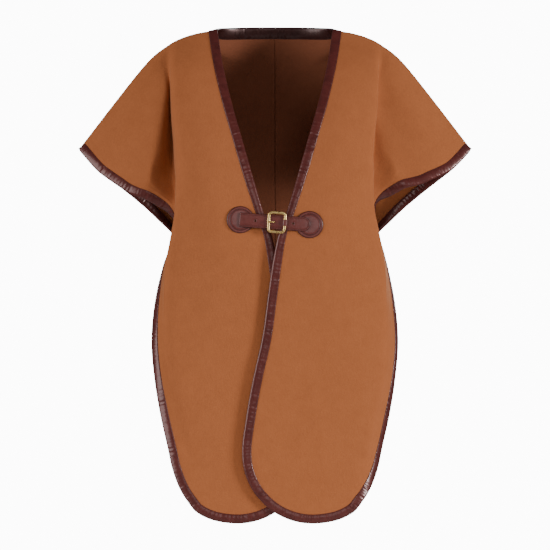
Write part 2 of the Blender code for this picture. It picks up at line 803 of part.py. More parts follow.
def buckle_frame(run):
    """The brass frame: a rectangle with clipped round corners over the strap."""
    bar = BUCKLE_BAR / 2
    flat, high = FRAME_FLAT, FRAME_HIGH
    section = ((-bar, -flat), (-bar / 2, -high), (bar / 2, -high), (bar, -flat),
               (bar, flat), (bar / 2, high), (-bar / 2, high), (-bar, flat))
    wide = BUCKLE_WIDTH / 2 - bar - BUCKLE_CORNER
    tall = BUCKLE_HEIGHT / 2 - bar - BUCKLE_CORNER
    centre_lift = STRAP_THICK + SEAM_GAP + BUCKLE_THICK / 2
    origin = run.place(BUCKLE_AT, 0, centre_lift)
    along = run.place(BUCKLE_AT + 1, 0, centre_lift) - origin
    upward = run.place(BUCKLE_AT, 1, centre_lift) - origin
    along /= np.linalg.norm(along)
    forward = np.cross(upward, along)
    forward *= -np.sign(forward[1])
    path = []
    for quarter in range(4):
        for step in range(CORNER_STEPS):
            angle = math.pi / 2 * (quarter + step / (CORNER_STEPS - 1))
            side = (1, -1, -1, 1)[quarter]
            over = (1, 1, -1, -1)[quarter]
            away = along * math.cos(angle) + upward * math.sin(angle)
            place = origin + along * side * wide + upward * over * tall + away * BUCKLE_CORNER
            path.append((place, away, forward))
    points, faces = swept_ring(path, section)
    return new_object("buckle_frame", points, faces, "brass")


def tube(points_along, radii, sides):
    """A round bar through points, with flat ends."""
    spots = np.array(points_along)
    runs = np.gradient(spots, axis=0)
    points, faces = [], []
    for spot, run, radius in zip(spots, runs, radii):
        run = run / np.linalg.norm(run)
        upright = np.cross(run, (0, 1, 0))
        upright /= np.linalg.norm(upright)
        other = np.cross(run, upright)
        for corner in range(sides):
            angle = 2 * math.pi * corner / sides
            points.append(spot + radius * (upright * math.cos(angle) + other * math.sin(angle)))
    for step in range(len(spots) - 1):
        for corner in range(sides):
            here, after = step * sides + corner, step * sides + (corner + 1) % sides
            faces.append((here, after, after + sides, here + sides))
    last = (len(spots) - 1) * sides
    faces += [tuple(range(sides)), tuple(range(last, last + sides))]
    return points, faces


def buckle_prong(run):
    """The prong: its shank lies behind the strap, it rises through the middle hole and its
    tip rests on the frame's right bar."""
    hole = STRAP_HOLES[1]
    behind = -PRONG_RADIUS - SEAM_GAP
    ahead = STRAP_THICK + SEAM_GAP + BUCKLE_THICK + SEAM_GAP + PRONG_RADIUS
    bar = BUCKLE_AT - BUCKLE_WIDTH / 2
    route = ((hole + 9, behind - 0.6), (hole + 4, behind - 0.6), (hole + 0.9, behind - 0.1),
             (hole + 0.1, STRAP_THICK / 2), (hole - 0.9, STRAP_THICK + 2.0),
             (bar + BUCKLE_BAR + 1.5, ahead - 0.2), (bar + 1.5, ahead), (bar - 0.5, ahead - 0.3))
    spots = [run.place(along, 0, lift) for along, lift in route]
    radii = (1.2, 1.2, 1.0, 0.9, 1.0, 1.2, 1.2, 0.9)
    points, faces = tube(spots, radii, PRONG_SIDES)
    return new_object("buckle_prong", points, faces, "brass")


def buckle_loop(run):
    """A narrow leather loop over the frame's left bar, with its ends down on the strap."""
    bar = BUCKLE_AT + BUCKLE_WIDTH / 2 - BUCKLE_BAR / 2
    inside = BUCKLE_BAR / 2 + SEAM_GAP
    outside = inside + LOOP_LEATHER
    floor = STRAP_THICK + SEAM_GAP
    roof = floor + BUCKLE_THICK + SEAM_GAP + 0.3
    profile = ((-outside, floor), (-outside, roof - 0.4), (-inside + 0.6, roof + LOOP_LEATHER),
               (inside - 0.6, roof + LOOP_LEATHER), (outside, roof - 0.4), (outside, floor),
               (inside, floor), (inside, roof - 0.8), (inside - 0.9, roof), (-inside + 0.9, roof),
               (-inside, roof - 0.8), (-inside, floor))
    size = len(profile)
    points = [run.place(bar + along, end, lift)
              for end in (-LOOP_WIDTH / 2, LOOP_WIDTH / 2) for along, lift in profile]
    faces = [(k, (k + 1) % size, (k + 1) % size + size, k + size) for k in range(size)]
    caps = ((0, 1, 10, 11), (1, 2, 9, 10), (2, 3, 8, 9), (3, 4, 7, 8), (4, 5, 6, 7))
    for base in (0, size):
        faces += [tuple(base + corner for corner in cap) for cap in caps]
    return new_object("buckle_loop", points, faces, "leather")


def clear_scene():
    for thing in list(bpy.data.objects):
        bpy.data.objects.remove(thing)
    for name in (COAT, "cutters"):
        home = bpy.data.collections.get(name) or bpy.data.collections.new(name)
        if name not in bpy.context.scene.collection.children:
            bpy.context.scene.collection.children.link(home)


clear_scene()

fronts = {side: Panel(lambda row, widths, side=side: front_row(side, row, widths),
                      FRONT_ROWS, side, -1) for side in (LEFT, RIGHT)}
backs = {side: Panel(back_row, BACK_ROWS, side, 1, NECK_ROWS) for side in (LEFT, RIGHT)}
for side in (LEFT, RIGHT):
    top_row = [(0, column) for column in range(fronts[side].points.shape[1])]
    join_at_seam(fronts[side], backs[side], top_row)
middle_rows = backs[LEFT].edge("first")[NECK_ROWS:]
join_at_seam(backs[LEFT], backs[RIGHT], middle_rows)

cloth_wall("front_left", fronts[LEFT])
cloth_wall("front_right", fronts[RIGHT])
cloth_wall("back_left", backs[LEFT])
cloth_wall("back_right", backs[RIGHT])

for side, name in ((LEFT, "binding_front_left"), (RIGHT, "binding_front_right")):
    front = fronts[side]
    binding(name, [(front, front.bound("first") + front.bound("end") + front.bound("outer")[::-1])])
binding("binding_back_neck", [(backs[LEFT], backs[LEFT].bound("neck")),
                              (backs[RIGHT], backs[RIGHT].bound("neck")[::-1])])
binding("binding_back_outer",
        [(backs[LEFT], backs[LEFT].bound("outer") + backs[LEFT].bound("hem")[::-1]),
         (backs[RIGHT], backs[RIGHT].bound("hem") + backs[RIGHT].bound("outer")[::-1])])

chest = Cloth([fronts[LEFT], fronts[RIGHT]])
patch("patch_left", chest, PATCH_LEFT, PATCH_RIGHT)
patch("patch_right", chest, PATCH_RIGHT, PATCH_LEFT)
closure = Strap(chest)
strap(closure)
buckle_frame(closure)
buckle_prong(closure)
buckle_loop(closure)
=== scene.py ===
"""The looks of a collarless cape coat: tan wool felt bound in glossy oxblood leather, closed at
the chest with a buckled strap.

X runs to the wearer's left, -Y is the coat's front and +Z is up. Tables and sizes are in
millimetres unless a name says metres, with x counted out from the middle to a piece's own side.
The meshes are in metres.
"""
import math

import bmesh
import bpy
import numpy as np
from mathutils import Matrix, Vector, noise
from mathutils.bvhtree import BVHTree
from mathutils.interpolate import poly_3d_calc


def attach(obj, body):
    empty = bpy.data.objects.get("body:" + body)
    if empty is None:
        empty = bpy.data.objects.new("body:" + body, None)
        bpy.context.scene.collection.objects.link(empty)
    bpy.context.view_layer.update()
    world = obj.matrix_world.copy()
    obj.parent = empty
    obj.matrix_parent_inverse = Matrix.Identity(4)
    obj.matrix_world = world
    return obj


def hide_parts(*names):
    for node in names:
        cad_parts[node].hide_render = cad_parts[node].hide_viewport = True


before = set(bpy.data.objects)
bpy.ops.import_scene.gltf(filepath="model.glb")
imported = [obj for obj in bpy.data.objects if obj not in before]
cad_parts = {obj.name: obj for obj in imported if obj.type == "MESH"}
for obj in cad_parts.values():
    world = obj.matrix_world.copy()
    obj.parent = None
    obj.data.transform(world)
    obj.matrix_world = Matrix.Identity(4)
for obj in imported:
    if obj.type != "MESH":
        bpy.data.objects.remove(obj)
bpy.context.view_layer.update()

# The two fronts are single pieces of thick double-faced wool felt. Each is cut in one with its
# wing, which stands off the chest in a soft fold, and its hem is fully rounded. The wearer's
# left front laps over the right one. Each line below runs down a panel: row, x, y, z.
MM = 0.001
LEFT, RIGHT = 1, -1
SIDE_WORDS = {LEFT: "left", RIGHT: "right"}
WOOL = 2.5
BIND_WIDTH = 15.5
NECK_WIDTH = 21.5
LAST_ROW = 10
END_ROWS = 5
LEAST_SINE = 0.6
LEAST_SQUARE = 1e-6
FRONT_EDGE = (
    (0, 107, 0, 0), (1, 98, -42, -60), (2, 82, -77, -130), (3, 62, -101, -200),
    (4, 42, -114, -270), (5, 24, -120, -331), (6, 7, -122, -380), (7, -6, -120, -450),
    (8, -21, -116, -560), (9, -45, -113, -670), (10, -57.5, -111, -770),
)
FRONT_CHEST = (
    (0, 150, 2, -8), (1, 143, -46, -66), (2, 134, -80, -134), (3, 122, -104, -202),
    (4, 112, -118, -269), (5, 104, -123, -331), (6, 98, -123, -383), (7, 97, -119, -452),
    (8, 84, -115, -562), (10, 44, -112, -771),
)
FRONT_RIDGE = (
    (0, 180, 3, -19), (1, 186, -36, -76), (2, 184, -60, -141), (3, 177, -76, -206),
    (4, 175, -85, -268), (5, 180, -88, -328), (6, 188, -86, -384), (7, 197, -84, -455),
    (8, 190, -97, -565), (10, 143, -107, -772),
)
FRONT_VALLEY = (
    (0, 198, 3, -30), (1, 192, -24, -93), (2, 190, -17, -163), (3, 187, -13, -226),
    (4, 183, -26, -275), (4.5, 181, -38, -301), (5, 176, -66, -328), (5.5, 180, -65, -356),
    (6, 187, -60, -385), (7, 202, -64, -455), (8, 202, -86, -565), (10, 159, -104, -772),
)
FRONT_CREST = (
    (0, 226, 0, -52), (1, 201, -35, -106), (2, 206, -50, -176), (3, 214, -57, -236),
    (4, 222, -56, -284), (4.5, 200, -51, -308), (5, 182, -49, -331), (5.5, 179, -42, -354),
    (6, 188, -34, -386), (7, 205, -47, -455), (8, 213, -76, -566), (10, 176, -101, -772),
)
FRONT_OUTER = (
    (0, 357, -8, -217), (1, 322, -26, -256), (2, 292, -38, -278), (3, 262, -47, -298),
    (4, 234, -52, -308), (4.5, 213, -46, -320), (5, 194, -36, -332), (5.5, 181, -20, -351),
    (6, 184, -12, -388), (7, 208, -30, -450), (8, 222, -66, -564), (9, 211, -84, -672),
    (10, 190.5, -96, -770),
)
# How the two fronts differ: the forward lap, the wing's fold, the lift of the wing hem and of
# its corner at the body, and how far the side edge turns back
SIDES = {
    LEFT: {"lap": -7.5, "valley_fill": 0.6, "valley_x": -10, "crest_x": -14, "crest_y": 12,
           "hem_lift": 20, "pit_lift": 12, "side_turn": 30},
    RIGHT: {"lap": 5, "valley_fill": 0.25, "valley_x": 0, "crest_x": 0, "crest_y": 0,
            "hem_lift": 0, "pit_lift": 0, "side_turn": 0},
}
PIT_ROW, PIT_SPAN = 5.6, 0.6
LAP_CHEST = 0.45
# Rows over which each of these comes in or goes out
FOLD_IN, FOLD_OUT, CREST_OUT = (0, 1.5), (4.5, 6), (3, 4.5)
HEM_IN, HEM_OUT, HEM_AT_VALLEY, HEM_AT_CREST = (0, 4), (5, 7.5), (3, 4.5), (2, 4)
TURN_IN, LAP_IN = (6, 8), (3.5, 6)
FRONT_ROUND_ANGLE = 48
# The outer side of a front's round end: share of its depth, how far it stays inside the circle
FRONT_TRIM = ((0, 0), (0.1, 1.5), (0.25, 3.4), (0.4, 3.2), (0.54, 1.8), (0.69, -1.2),
              (0.76, -3.6), (0.83, -5.4), (0.9, -5.9), (0.96, -4.4), (1, 0))
# Steps from each station to the next, and runs of rows: first, last and steps
COLUMNS = (3, 3, 3, 3, 3)
FRONT_ROWS = ((0, 1, 3), (1, 4, 5), (4, 6, 7), (6, 10, 6), (10, 11, 5))
LENGTH_STEPS = 50
EVEN_ROWS = (7, 9.5)
SETTLE_ROUNDS = 80
RELAX_ROUNDS = 12
FINE_ROWS, FINE_COLUMNS = 5, 4
# Over this run of x, counted out from the middle, the painted shade on the felt's inner face fades
# out
INNER_SHADE_FADE = (110, 190)
SEAM_STEP = 0.07
# At a seam the way out shrinks to the dip, and points whose way out is short get painted shade in
# the seam
SEAM_DIP, SEAM_SHADE_BELOW = 0.4, 0.99
# Soft creases: from x, z to x, z, then how wide and how high each one stands. They fade out
# over the first rows and beside the middle seam.
CREASE_FREE_ROWS, CREASE_FREE_MIDDLE = 3, 40
FRONT_CREASES = {
    LEFT: ((168, -262, 112, -318, 20, 2.4), (160, -330, 120, -420, 24, -1.8),
           (128, -470, 146, -690, 34, 2.6), (60, -520, 28, -760, 30, -2.2),
           (250, -130, 300, -232, 24, 2.2), (226, -190, 244, -262, 16, -1.6)),
    RIGHT: ((164, -240, 118, -300, 22, 2.0), (150, -350, 128, -440, 26, -1.6),
            (112, -500, 134, -720, 32, 2.4), (40, -470, 22, -640, 26, 1.6),
            (262, -120, 306, -226, 26, 2.4), (150, -760, 96, -850, 26, -1.8)),
}


def smooth(keys, place):
    """The values at a place on a smooth curve through rows of (place, values)."""
    keys = np.asarray(keys, float)
    knots, values = keys[:, 0], keys[:, 1:]
    step = np.diff(knots)[:, None]
    slope = np.diff(values, axis=0) / step
    inner = (slope[:-1] * step[1:] + slope[1:] * step[:-1]) / (step[:-1] + step[1:])
    lean = np.concatenate((slope[:1], inner, slope[-1:]))
    span = int(np.clip(np.searchsorted(knots, place, side="right") - 1, 0, len(knots) - 2))
    wide = step[span, 0]
    t = (place - knots[span]) / wide
    start, end = values[span], values[span + 1]
    return ((1 + 2 * t) * (1 - t) ** 2 * start + t * (1 - t) ** 2 * wide * lean[span]
            + t * t * (3 - 2 * t) * end + t * t * (t - 1) * wide * lean[span + 1])


def through(knots, places):
    """Weights that carry values at the knots to a smooth curve's values at the places."""
    keys = np.column_stack((knots, np.eye(len(knots))))
    return np.array([smooth(keys, place) for place in places])


def run_length(line):
    """How far along a line of points each one lies."""
    steps = np.linalg.norm(np.diff(line, axis=0), axis=1)
    return np.concatenate(([0.0], np.cumsum(steps)))


def unit(ways):
    return ways / np.linalg.norm(ways, axis=-1, keepdims=True)


def spaced(steps):
    """Places along a line from 0, for each step its start, its end and how many it takes."""
    places = [0.0]
    for start, end, count in steps:
        places += [start + (end - start) * (k + 1) / count for k in range(count)]
    return places


def ease(value, low, high):
    """0 below low, 1 above high and a smooth step between them."""
    t = np.clip((value - low) / (high - low), 0.0, 1.0)
    return t * t * (3 - 2 * t)


def front_stations(side, row):
    """The six points of one row of a front, from its front edge to its outer edge."""
    look = SIDES[side]
    along = min(row, LAST_ROW)
    tables = (FRONT_EDGE, FRONT_CHEST, FRONT_RIDGE, FRONT_VALLEY, FRONT_CREST, FRONT_OUTER)
    points = np.array([smooth(table, along) for table in tables])
    fold = ease(along, *FOLD_IN) * (1 - ease(along, *FOLD_OUT))
    between = (points[2, 1] + points[4, 1]) / 2
    points[3, 0] += look["valley_x"] * fold
    points[3, 1] += (between - points[3, 1]) * look["valley_fill"] * fold
    high = fold * (1 - ease(along, *CREST_OUT))
    points[4, 0] += look["crest_x"] * high
    points[4, 1] += look["crest_y"] * high
    lift = look["hem_lift"] * ease(along, *HEM_IN) * (1 - ease(along, *HEM_OUT))
    points[3, 2] += lift * ease(along, *HEM_AT_VALLEY)
    points[4, 2] += lift * ease(along, *HEM_AT_CREST)
    pit = look["pit_lift"] * math.exp(-((along - PIT_ROW) / PIT_SPAN) ** 2)
    points[4, 2] += pit / 2
    points[5, 2] += lift + pit
    turn = look["side_turn"] * ease(along, *TURN_IN)
    points[4, 1] += turn / 2
    points[5, 1] += turn
    lap = look["lap"] * ease(along, *LAP_IN)
    points[0, 1] += lap
    points[1, 1] += lap * LAP_CHEST
    return points


def across(stations, row, widths):
    """Points across one row on a smooth curve through its stations. The first and last step
    have the given widths, and down the panel the others leave the folds and spread evenly."""
    chords = np.linalg.norm(np.diff(stations, axis=0), axis=1)
    knots = np.concatenate(([0.0], np.cumsum(np.sqrt(chords))))
    keys = np.column_stack((knots, stations))
    places = np.array(spaced(zip(knots[:-1], knots[1:], COLUMNS)))
    fine = np.linspace(knots[0], knots[-1], LENGTH_STEPS)
    length = run_length(np.array([smooth(keys, place) for place in fine]))
    even = np.interp(np.linspace(0, length[-1], len(places)), length, fine)
    spread = ease(row, *EVEN_ROWS)
    places = places * (1 - spread) + even * spread
    ends = np.interp((widths[0], length[-1] - widths[1]), length, fine)
    places[1:-1] = np.interp(places[1:-1], places[[1, -2]], ends)
    return np.array([smooth(keys, place) for place in places])


def front_row(side, row, widths):
    """One row of a front; past the last table row the panel closes in a half round."""
    points = across(front_stations(side, row), row, widths)
    if row <= LAST_ROW:
        return points
    last = math.radians(FRONT_ROUND_ANGLE)
    angle = last * (row - LAST_ROW)
    middle = (points[0, 0] + points[-1, 0]) / 2
    radius = (points[-1, 0] - points[0, 0]) / 2
    share = (points[:, 0] - middle) / radius
    arc = np.sqrt(1 - (share * math.cos(last)) ** 2) - math.sin(last)
    depth = math.sin(angle) + arc * (row - LAST_ROW) ** 2
    wide = np.sqrt(np.maximum(1 - depth ** 2, LEAST_SQUARE))
    trim = np.array([smooth(FRONT_TRIM, place)[0] for place in depth])
    trim *= np.clip(share * math.cos(angle) / wide, 0, 1)
    points[:, 0] = middle + radius * share * math.cos(angle) - trim
    points[:, 2] -= radius * depth
    return points


def even_out(grid):
    """Move each inner point of a grid to the mean of the four round it."""
    grid[1:-1, 1:-1] = (grid[:-2, 1:-1] + grid[2:, 1:-1] + grid[1:-1, :-2] + grid[1:-1, 2:]) / 4


def settle_end(grid, seam):
    """Place the cells of a rounded end: those along the edge are as wide as the binding and the
    others spread between them. A seam down the first column stays straight."""
    last, columns = grid.shape[0] - 1, grid.shape[1]
    first = last - END_ROWS
    profile = grid[first]
    flat = grid[:, :, (0, 2)]
    rim = [(last, column) for column in range(columns)]
    rim += [(row, columns - 1) for row in range(last - 1, first, -1)]
    near = 0
    if not seam:
        rim = [(row, 0) for row in range(first + 1, last)] + rim
        near = 1
    line = np.array([flat[place] for place in rim])
    along = np.gradient(line, axis=0)
    inward = unit(np.column_stack((-along[:, 1], along[:, 0])))
    corners = ((last, columns - 1),) if seam else ((last, 0), (last, columns - 1))
    places = list(zip(rim, line + inward * BIND_WIDTH))
    for (row, column), spot in sorted(places, key=lambda place: place[0] in corners):
        flat[min(row, last - 1), min(max(column, near), columns - 2)] = spot
    top, bottom = first + 1, last - 1
    for _ in range(SETTLE_ROUNDS):
        even_out(flat[first:last, near:columns - 1])
        if seam:
            flat[top:bottom, 0] = (flat[top - 1:bottom - 1, 0] + flat[top + 1:bottom + 1, 0]) / 2
    grid[top:, :, 0] = flat[top:, :, 0]
    grid[top:, :, 1] = np.interp(flat[top:, :, 0], profile[:, 0], profile[:, 1])
    grid[top:, :, 2] = flat[top:, :, 1]


class Panel:
    """One cut piece of felt: its middle surface as a grid of points, and the soft creases that
    it hangs in."""

    def __init__(self, make_row, steps, side, facing, creases, seam_from=None):
        rows = spaced(steps)
        widths = np.full((len(rows), 2), BIND_WIDTH)
        grid = np.array([make_row(row, width) for row, width in zip(rows, widths)])
        for column, step, ends in ((0, 1, seam_from or len(rows)), (-1, -1, len(rows))):
            edge = grid[:ends + 1, column]
            along = np.gradient(edge, axis=0)
            row_way = grid[:len(edge), column + step] - edge
            sine = np.linalg.norm(np.cross(along, row_way), axis=1)
            sine /= np.linalg.norm(along, axis=1) * np.linalg.norm(row_way, axis=1)
            widths[1:len(edge), column] = BIND_WIDTH / np.maximum(sine[1:], LEAST_SINE)
        widths[-END_ROWS:] = BIND_WIDTH
        if seam_from:
            widths[1:seam_from + 1, 0] *= NECK_WIDTH / BIND_WIDTH
        grid = np.array([make_row(row, width) for row, width in zip(rows, widths)])
        settle_end(grid, seam_from is not None)
        grid[:, :, 0] *= side
        self.side, self.facing, self.creases = side, side * facing, creases
        self.seam = seam_from
        self.points = grid

    def ways_out(self, grid):
        """Normals of a grid from the faces round each point."""
        normal = np.zeros_like(grid)
        down = np.diff(grid, axis=0)
        over = np.diff(grid, axis=1)
        faces = np.cross(over[:-1] + over[1:], down[:, :-1] + down[:, 1:]) * self.facing
        for rows in (slice(None, -1), slice(1, None)):
            for columns in (slice(None, -1), slice(1, None)):
                normal[rows, columns] += faces
        return unit(normal)

    def drape(self, points, outs, rows):
        """Move points out by the soft creases, which fade away at the seams."""
        x, z = points[..., 0] * self.side, points[..., 2]
        lift = np.zeros(x.shape)
        for x1, z1, x2, z2, wide, high in self.creases:
            run_x, run_z = x2 - x1, z2 - z1
            along = ((x - x1) * run_x + (z - z1) * run_z) / (run_x ** 2 + run_z ** 2)
            along = np.clip(along, 0, 1)
            away = np.hypot(x - x1 - along * run_x, z - z1 - along * run_z)
            lift += high * np.exp(-(away / wide) ** 2)
        lift *= ease(rows, 0, CREASE_FREE_ROWS)
        if self.seam is not None:
            lift *= ease(np.abs(x), 0, CREASE_FREE_MIDDLE)
        return points + outs * lift[..., None]

    def fine(self):
        """A fine grid on a smooth surface through the points, with its ways out. Its points in
        the rounded end are spread evenly."""
        weights, places = [], []
        for axis, parts in ((0, FINE_ROWS), (1, FINE_COLUMNS)):
            steps = np.linalg.norm(np.diff(self.points, axis=axis), axis=2)
            knots = np.concatenate(([0.0], np.cumsum(steps.mean(axis=1 - axis))))
            spots = np.linspace(0, len(knots) - 1, (len(knots) - 1) * parts + 1)
            spots = np.insert(spots, 1, SEAM_STEP)
            places.append(spots)
            weights.append(through(knots, np.interp(spots, np.arange(len(knots)), knots)))
        grid = np.einsum("ar,bc,rcx->abx", weights[0], weights[1], self.points)
        end = grid[(len(self.points) - 1 - END_ROWS) * FINE_ROWS + 1:]
        for _ in range(RELAX_ROUNDS):
            even_out(end)
        rows = np.broadcast_to(places[0][:, None], grid.shape[:2])
        grid = self.drape(grid, self.ways_out(grid), rows)
        return grid, self.ways_out(grid)

    def bound(self, name):
        """Grid places along an edge, each with the place a binding's width inside it."""
        last, end = self.points.shape[0] - 1, self.points.shape[1] - 1
        if name == "first":
            return [((row, 0), (row, 1)) for row in range(last)]
        if name == "outer":
            return [((row, end), (row, end - 1)) for row in range(last)]
        if name == "neck":
            pairs = [((row, 0), (row, 1)) for row in range(self.seam + 1)]
            return pairs + [((self.seam, 0), (self.seam + 1, 0))]
        pairs = [((last, column), (last - 1, column)) for column in range(1, end)]
        near = ((last, 0), (last - 1, 0 if name == "hem" else 1))
        return [near] + pairs + [((last, end), (last - 1, end - 1))]


class Value:
    """A number inside a material, open to sums like any other."""

    def __init__(self, look, socket):
        self.look = look
        self.socket = socket

    def reckon(self, operation, first, second):
        return self.look.node("ShaderNodeMath", {"operation": operation}, {0: first, 1: second})

    def __add__(self, other):
        return self.reckon("ADD", self, other)

    __radd__ = __add__

    def __sub__(self, other):
        return self.reckon("SUBTRACT", self, other)

    def __rsub__(self, other):
        return self.reckon("SUBTRACT", other, self)

    def __mul__(self, other):
        return self.reckon("MULTIPLY", self, other)

    __rmul__ = __mul__


class Look:
    """A material built from nodes round one Principled surface."""

    def __init__(self, name, **constants):
        self.material = bpy.data.materials.new(name)
        self.material.use_nodes = True
        self.tree = self.material.node_tree
        self.surface = self.tree.nodes["Principled BSDF"]
        for socket, value in constants.items():
            self.surface.inputs[socket.replace("_", " ")].default_value = value
        self.place = self.node("ShaderNodeTexCoord", {}, {}, "Object")

    def node(self, kind, settings, inputs, output=0):
        """Adds a node with its settings and the values or links of its sockets."""
        made = self.tree.nodes.new(kind)
        for name, value in settings.items():
            if name == "stops":
                for stop, (at, grey) in zip(made.color_ramp.elements, value):
                    stop.position = at
                    stop.color = (grey, grey, grey, 1)
            else:
                setattr(made, name, value)
        for socket, value in inputs.items():
            self.feed(made.inputs[socket], value)
        return Value(self, made.outputs[output])

    def feed(self, socket, value):
        if isinstance(value, Value):
            self.tree.links.new(value.socket, socket)
        else:
            socket.default_value = value

    def noise(self, scale, detail=2.0, stretch=(1, 1, 1)):
        place = self.place
        if stretch != (1, 1, 1):
            place = self.node("ShaderNodeMapping", {}, {"Vector": place, "Scale": stretch})
        return self.node("ShaderNodeTexNoise", {},
                         {"Vector": place, "Scale": scale, "Detail": detail, "Roughness": 0.6})

    def mix(self, share, first, second):
        """A colour between two colours."""
        return self.node("ShaderNodeMix", {"data_type": "RGBA"},
                         {0: share, 6: first, 7: second}, 2)

    def marked(self, name):
        """The number that mark stores at each point of a piece."""
        return self.node("ShaderNodeAttribute", {"attribute_name": name}, {}, "Fac")

    def bump(self, height, strength, distance):
        return self.node("ShaderNodeBump", {},
                         {"Height": height, "Strength": strength, "Distance": distance})

    def paint(self, **links):
        for socket, value in links.items():
            self.feed(self.surface.inputs[socket.replace("_", " ")], value)


def felt():
    """Tan wool felt: a fine nap of short fibres, a faint mottle and a soft fuzz of light at its
    folds. Where the mesh is marked so, painted shade darkens and browns its inner face towards
    the middle and darkens its seams."""
    look = Look("wool_felt", Sheen_Weight=0.3, Sheen_Roughness=0.3,
                Sheen_Tint=(1.0, 0.72, 0.48, 1), Specular_IOR_Level=0.12)
    mottle = look.noise(40, 3)
    nap = look.noise(620, 3)
    fibre = look.noise(300, 3, (1.0, 1.0, 0.45))
    shade = mottle * 0.3 + nap * 0.7 + fibre * 0.25 - 0.15
    face = look.mix(shade, (0.235, 0.069, 0.0225, 1), (0.415, 0.134, 0.049, 1))
    # A darker, browner copy of the felt's colours: painted shade, laid on the inner face where the
    # mesh is marked so
    inner_painted_shade = look.mix(shade, (0.145, 0.046, 0.022, 1), (0.25, 0.083, 0.042, 1))
    inside = look.marked("inner_painted_shade")
    # Painted shade: the felt darkens almost to black in its sunken seams
    seam = look.marked("seam")
    cloth = look.mix(inside, face, inner_painted_shade)
    look.paint(Base_Color=look.mix(seam * 0.8, cloth, (0.03, 0.008, 0.004, 1)),
               Roughness=0.86 + nap * 0.12,
               Normal=look.bump(nap * 0.6 + fibre * 0.6, 0.5, 0.0006))
    return look.material


def add_object(name, data):
    made = bpy.data.objects.new(name, data)
    bpy.context.scene.collection.objects.link(made)
    return made


def finish_piece(name, points, faces, material, node=None):
    """A mesh piece from points in millimetres, which rides on the coat."""
    mesh = bpy.data.meshes.new(name)
    mesh.from_pydata([tuple(point) for point in np.asarray(points) * MM], [], faces)
    tidy = bmesh.new()
    tidy.from_mesh(mesh)
    bmesh.ops.recalc_face_normals(tidy, faces=tidy.faces)
    tidy.to_mesh(mesh)
    tidy.free()
    mesh.shade_smooth()
    made = add_object(name, mesh)
    mesh.materials.append(material)
    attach(made, "root")
    if node:
        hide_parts(node)
    return made


def mark(made, name, values):
    """Store a number at each point of a piece, for its material to read."""
    layer = made.data.attributes.new(name, "FLOAT", "POINT")
    layer.data.foreach_set("value", np.array(values, float))


def grid_quads(rows, columns, ring_rows=False, ring_columns=False):
    """Faces between the neighbours of a grid, whose last row or column may meet its first."""
    faces = []
    for row in range(rows if ring_rows else rows - 1):
        here, after = row * columns, (row + 1) % rows * columns
        for column in range(columns if ring_columns else columns - 1):
            beside = (column + 1) % columns
            faces.append((here + column, here + beside, after + beside, after + column))
    return faces


def felt_piece(name, grid, outs, node):
    """The felt's wall, half its thickness to each side of the grid, closed round its edge."""
    rows, columns = grid.shape[:2]
    points = np.concatenate([(grid + outs * side * WOOL / 2).reshape(-1, 3) for side in (1, -1)])
    other = rows * columns
    faces = grid_quads(rows, columns)
    faces += [tuple(corner + other for corner in face[::-1]) for face in faces]
    spots = np.arange(other).reshape(rows, columns)
    rim = np.concatenate((spots[:, 0], spots[-1, 1:], spots[-2::-1, -1], spots[0, -2:0:-1]))
    for here, after in zip(rim.tolist(), np.roll(rim, -1).tolist()):
        faces.append((here, after, after + other, here + other))
    made = finish_piece(name, points, faces, wool, node)
    # Painted shade on the inner skin: full near the middle of the coat, fading out towards the
    # wings
    shade = 1 - ease(abs(points[other:, 0]), *INNER_SHADE_FADE)
    mark(made, "inner_painted_shade", np.concatenate((np.zeros(other), shade)))
    # Points in a seam's dip are marked for painted shade
    sewn = np.linalg.norm(outs.reshape(-1, 3), axis=1) < SEAM_SHADE_BELOW
    mark(made, "seam", np.tile(sewn, 2))
    return made


wool = felt()
fronts = {side: Panel(lambda row, widths, side=side: front_row(side, row, widths),
                      FRONT_ROWS, side, -1, FRONT_CREASES[side]) for side in SIDES}
front_felt = {side: fronts[side].fine() for side in SIDES}

# The two backs are cut like the fronts, a little narrower and shorter, with a straight hem that
# turns up at its outer corners. They meet in one plain seam down the middle, and each meets its
# front in a seam over the shoulder and along the top of the wing.
NECK_DEPTH, NECK_RISE, NECK_ROWS = 58, 5, 5
BACK_ROUND = 98
BACK_ROUND_ANGLE = 45
BACK_ROWS = ((0, 1, 5), (1, 1.28, 1), (1.28, 4, 5), (4, 6, 4), (6, 10, 5), (10, 11, 5))
BACK_MIDDLE = (
    (1, 0, 58, 5), (2, 0, 82, -70), (3, 0, 97, -150), (4, 0, 103, -230), (5, 0, 101, -310),
    (6, 0, 97, -380), (7, 0, 95, -450), (10, 0, 100, -768),
)
BACK_BLADE = (
    (0, 150, 2, -8), (1, 66, 72, -60), (2, 78, 88, -112), (3, 85, 99, -174), (4, 88, 104, -238),
    (5, 90, 102, -316), (6, 90, 98, -383), (7, 90, 95, -450), (10, 85, 99, -768),
)
BACK_RIDGE = (
    (0, 180, 3, -19), (1, 150, 42, -42), (2, 155, 68, -112), (3, 160, 82, -185),
    (4, 163, 87, -258), (5, 160, 88, -330), (6, 146, 89, -388), (7, 146, 87, -450),
    (8, 160, 85, -560), (10, 140, 94, -768),
)
BACK_VALLEY = (
    (0, 198, 3, -30), (1, 185, 34, -72), (2, 182, 52, -138), (3, 181, 60, -206),
    (4, 180, 62, -274), (5, 178, 69, -339), (6, 160, 80, -390), (7, 160, 80, -450),
    (8, 177, 78, -560), (10, 158, 89, -768),
)
BACK_CREST = (
    (0, 226, 0, -52), (1, 215, 30, -104), (2, 206, 50, -166), (3, 204, 60, -230),
    (4, 203, 58, -291), (5, 193, 58, -345), (5.5, 178, 64, -368), (6, 170, 69, -391),
    (7, 172, 71, -450), (8, 192, 70, -560), (10, 173, 84, -768),
)
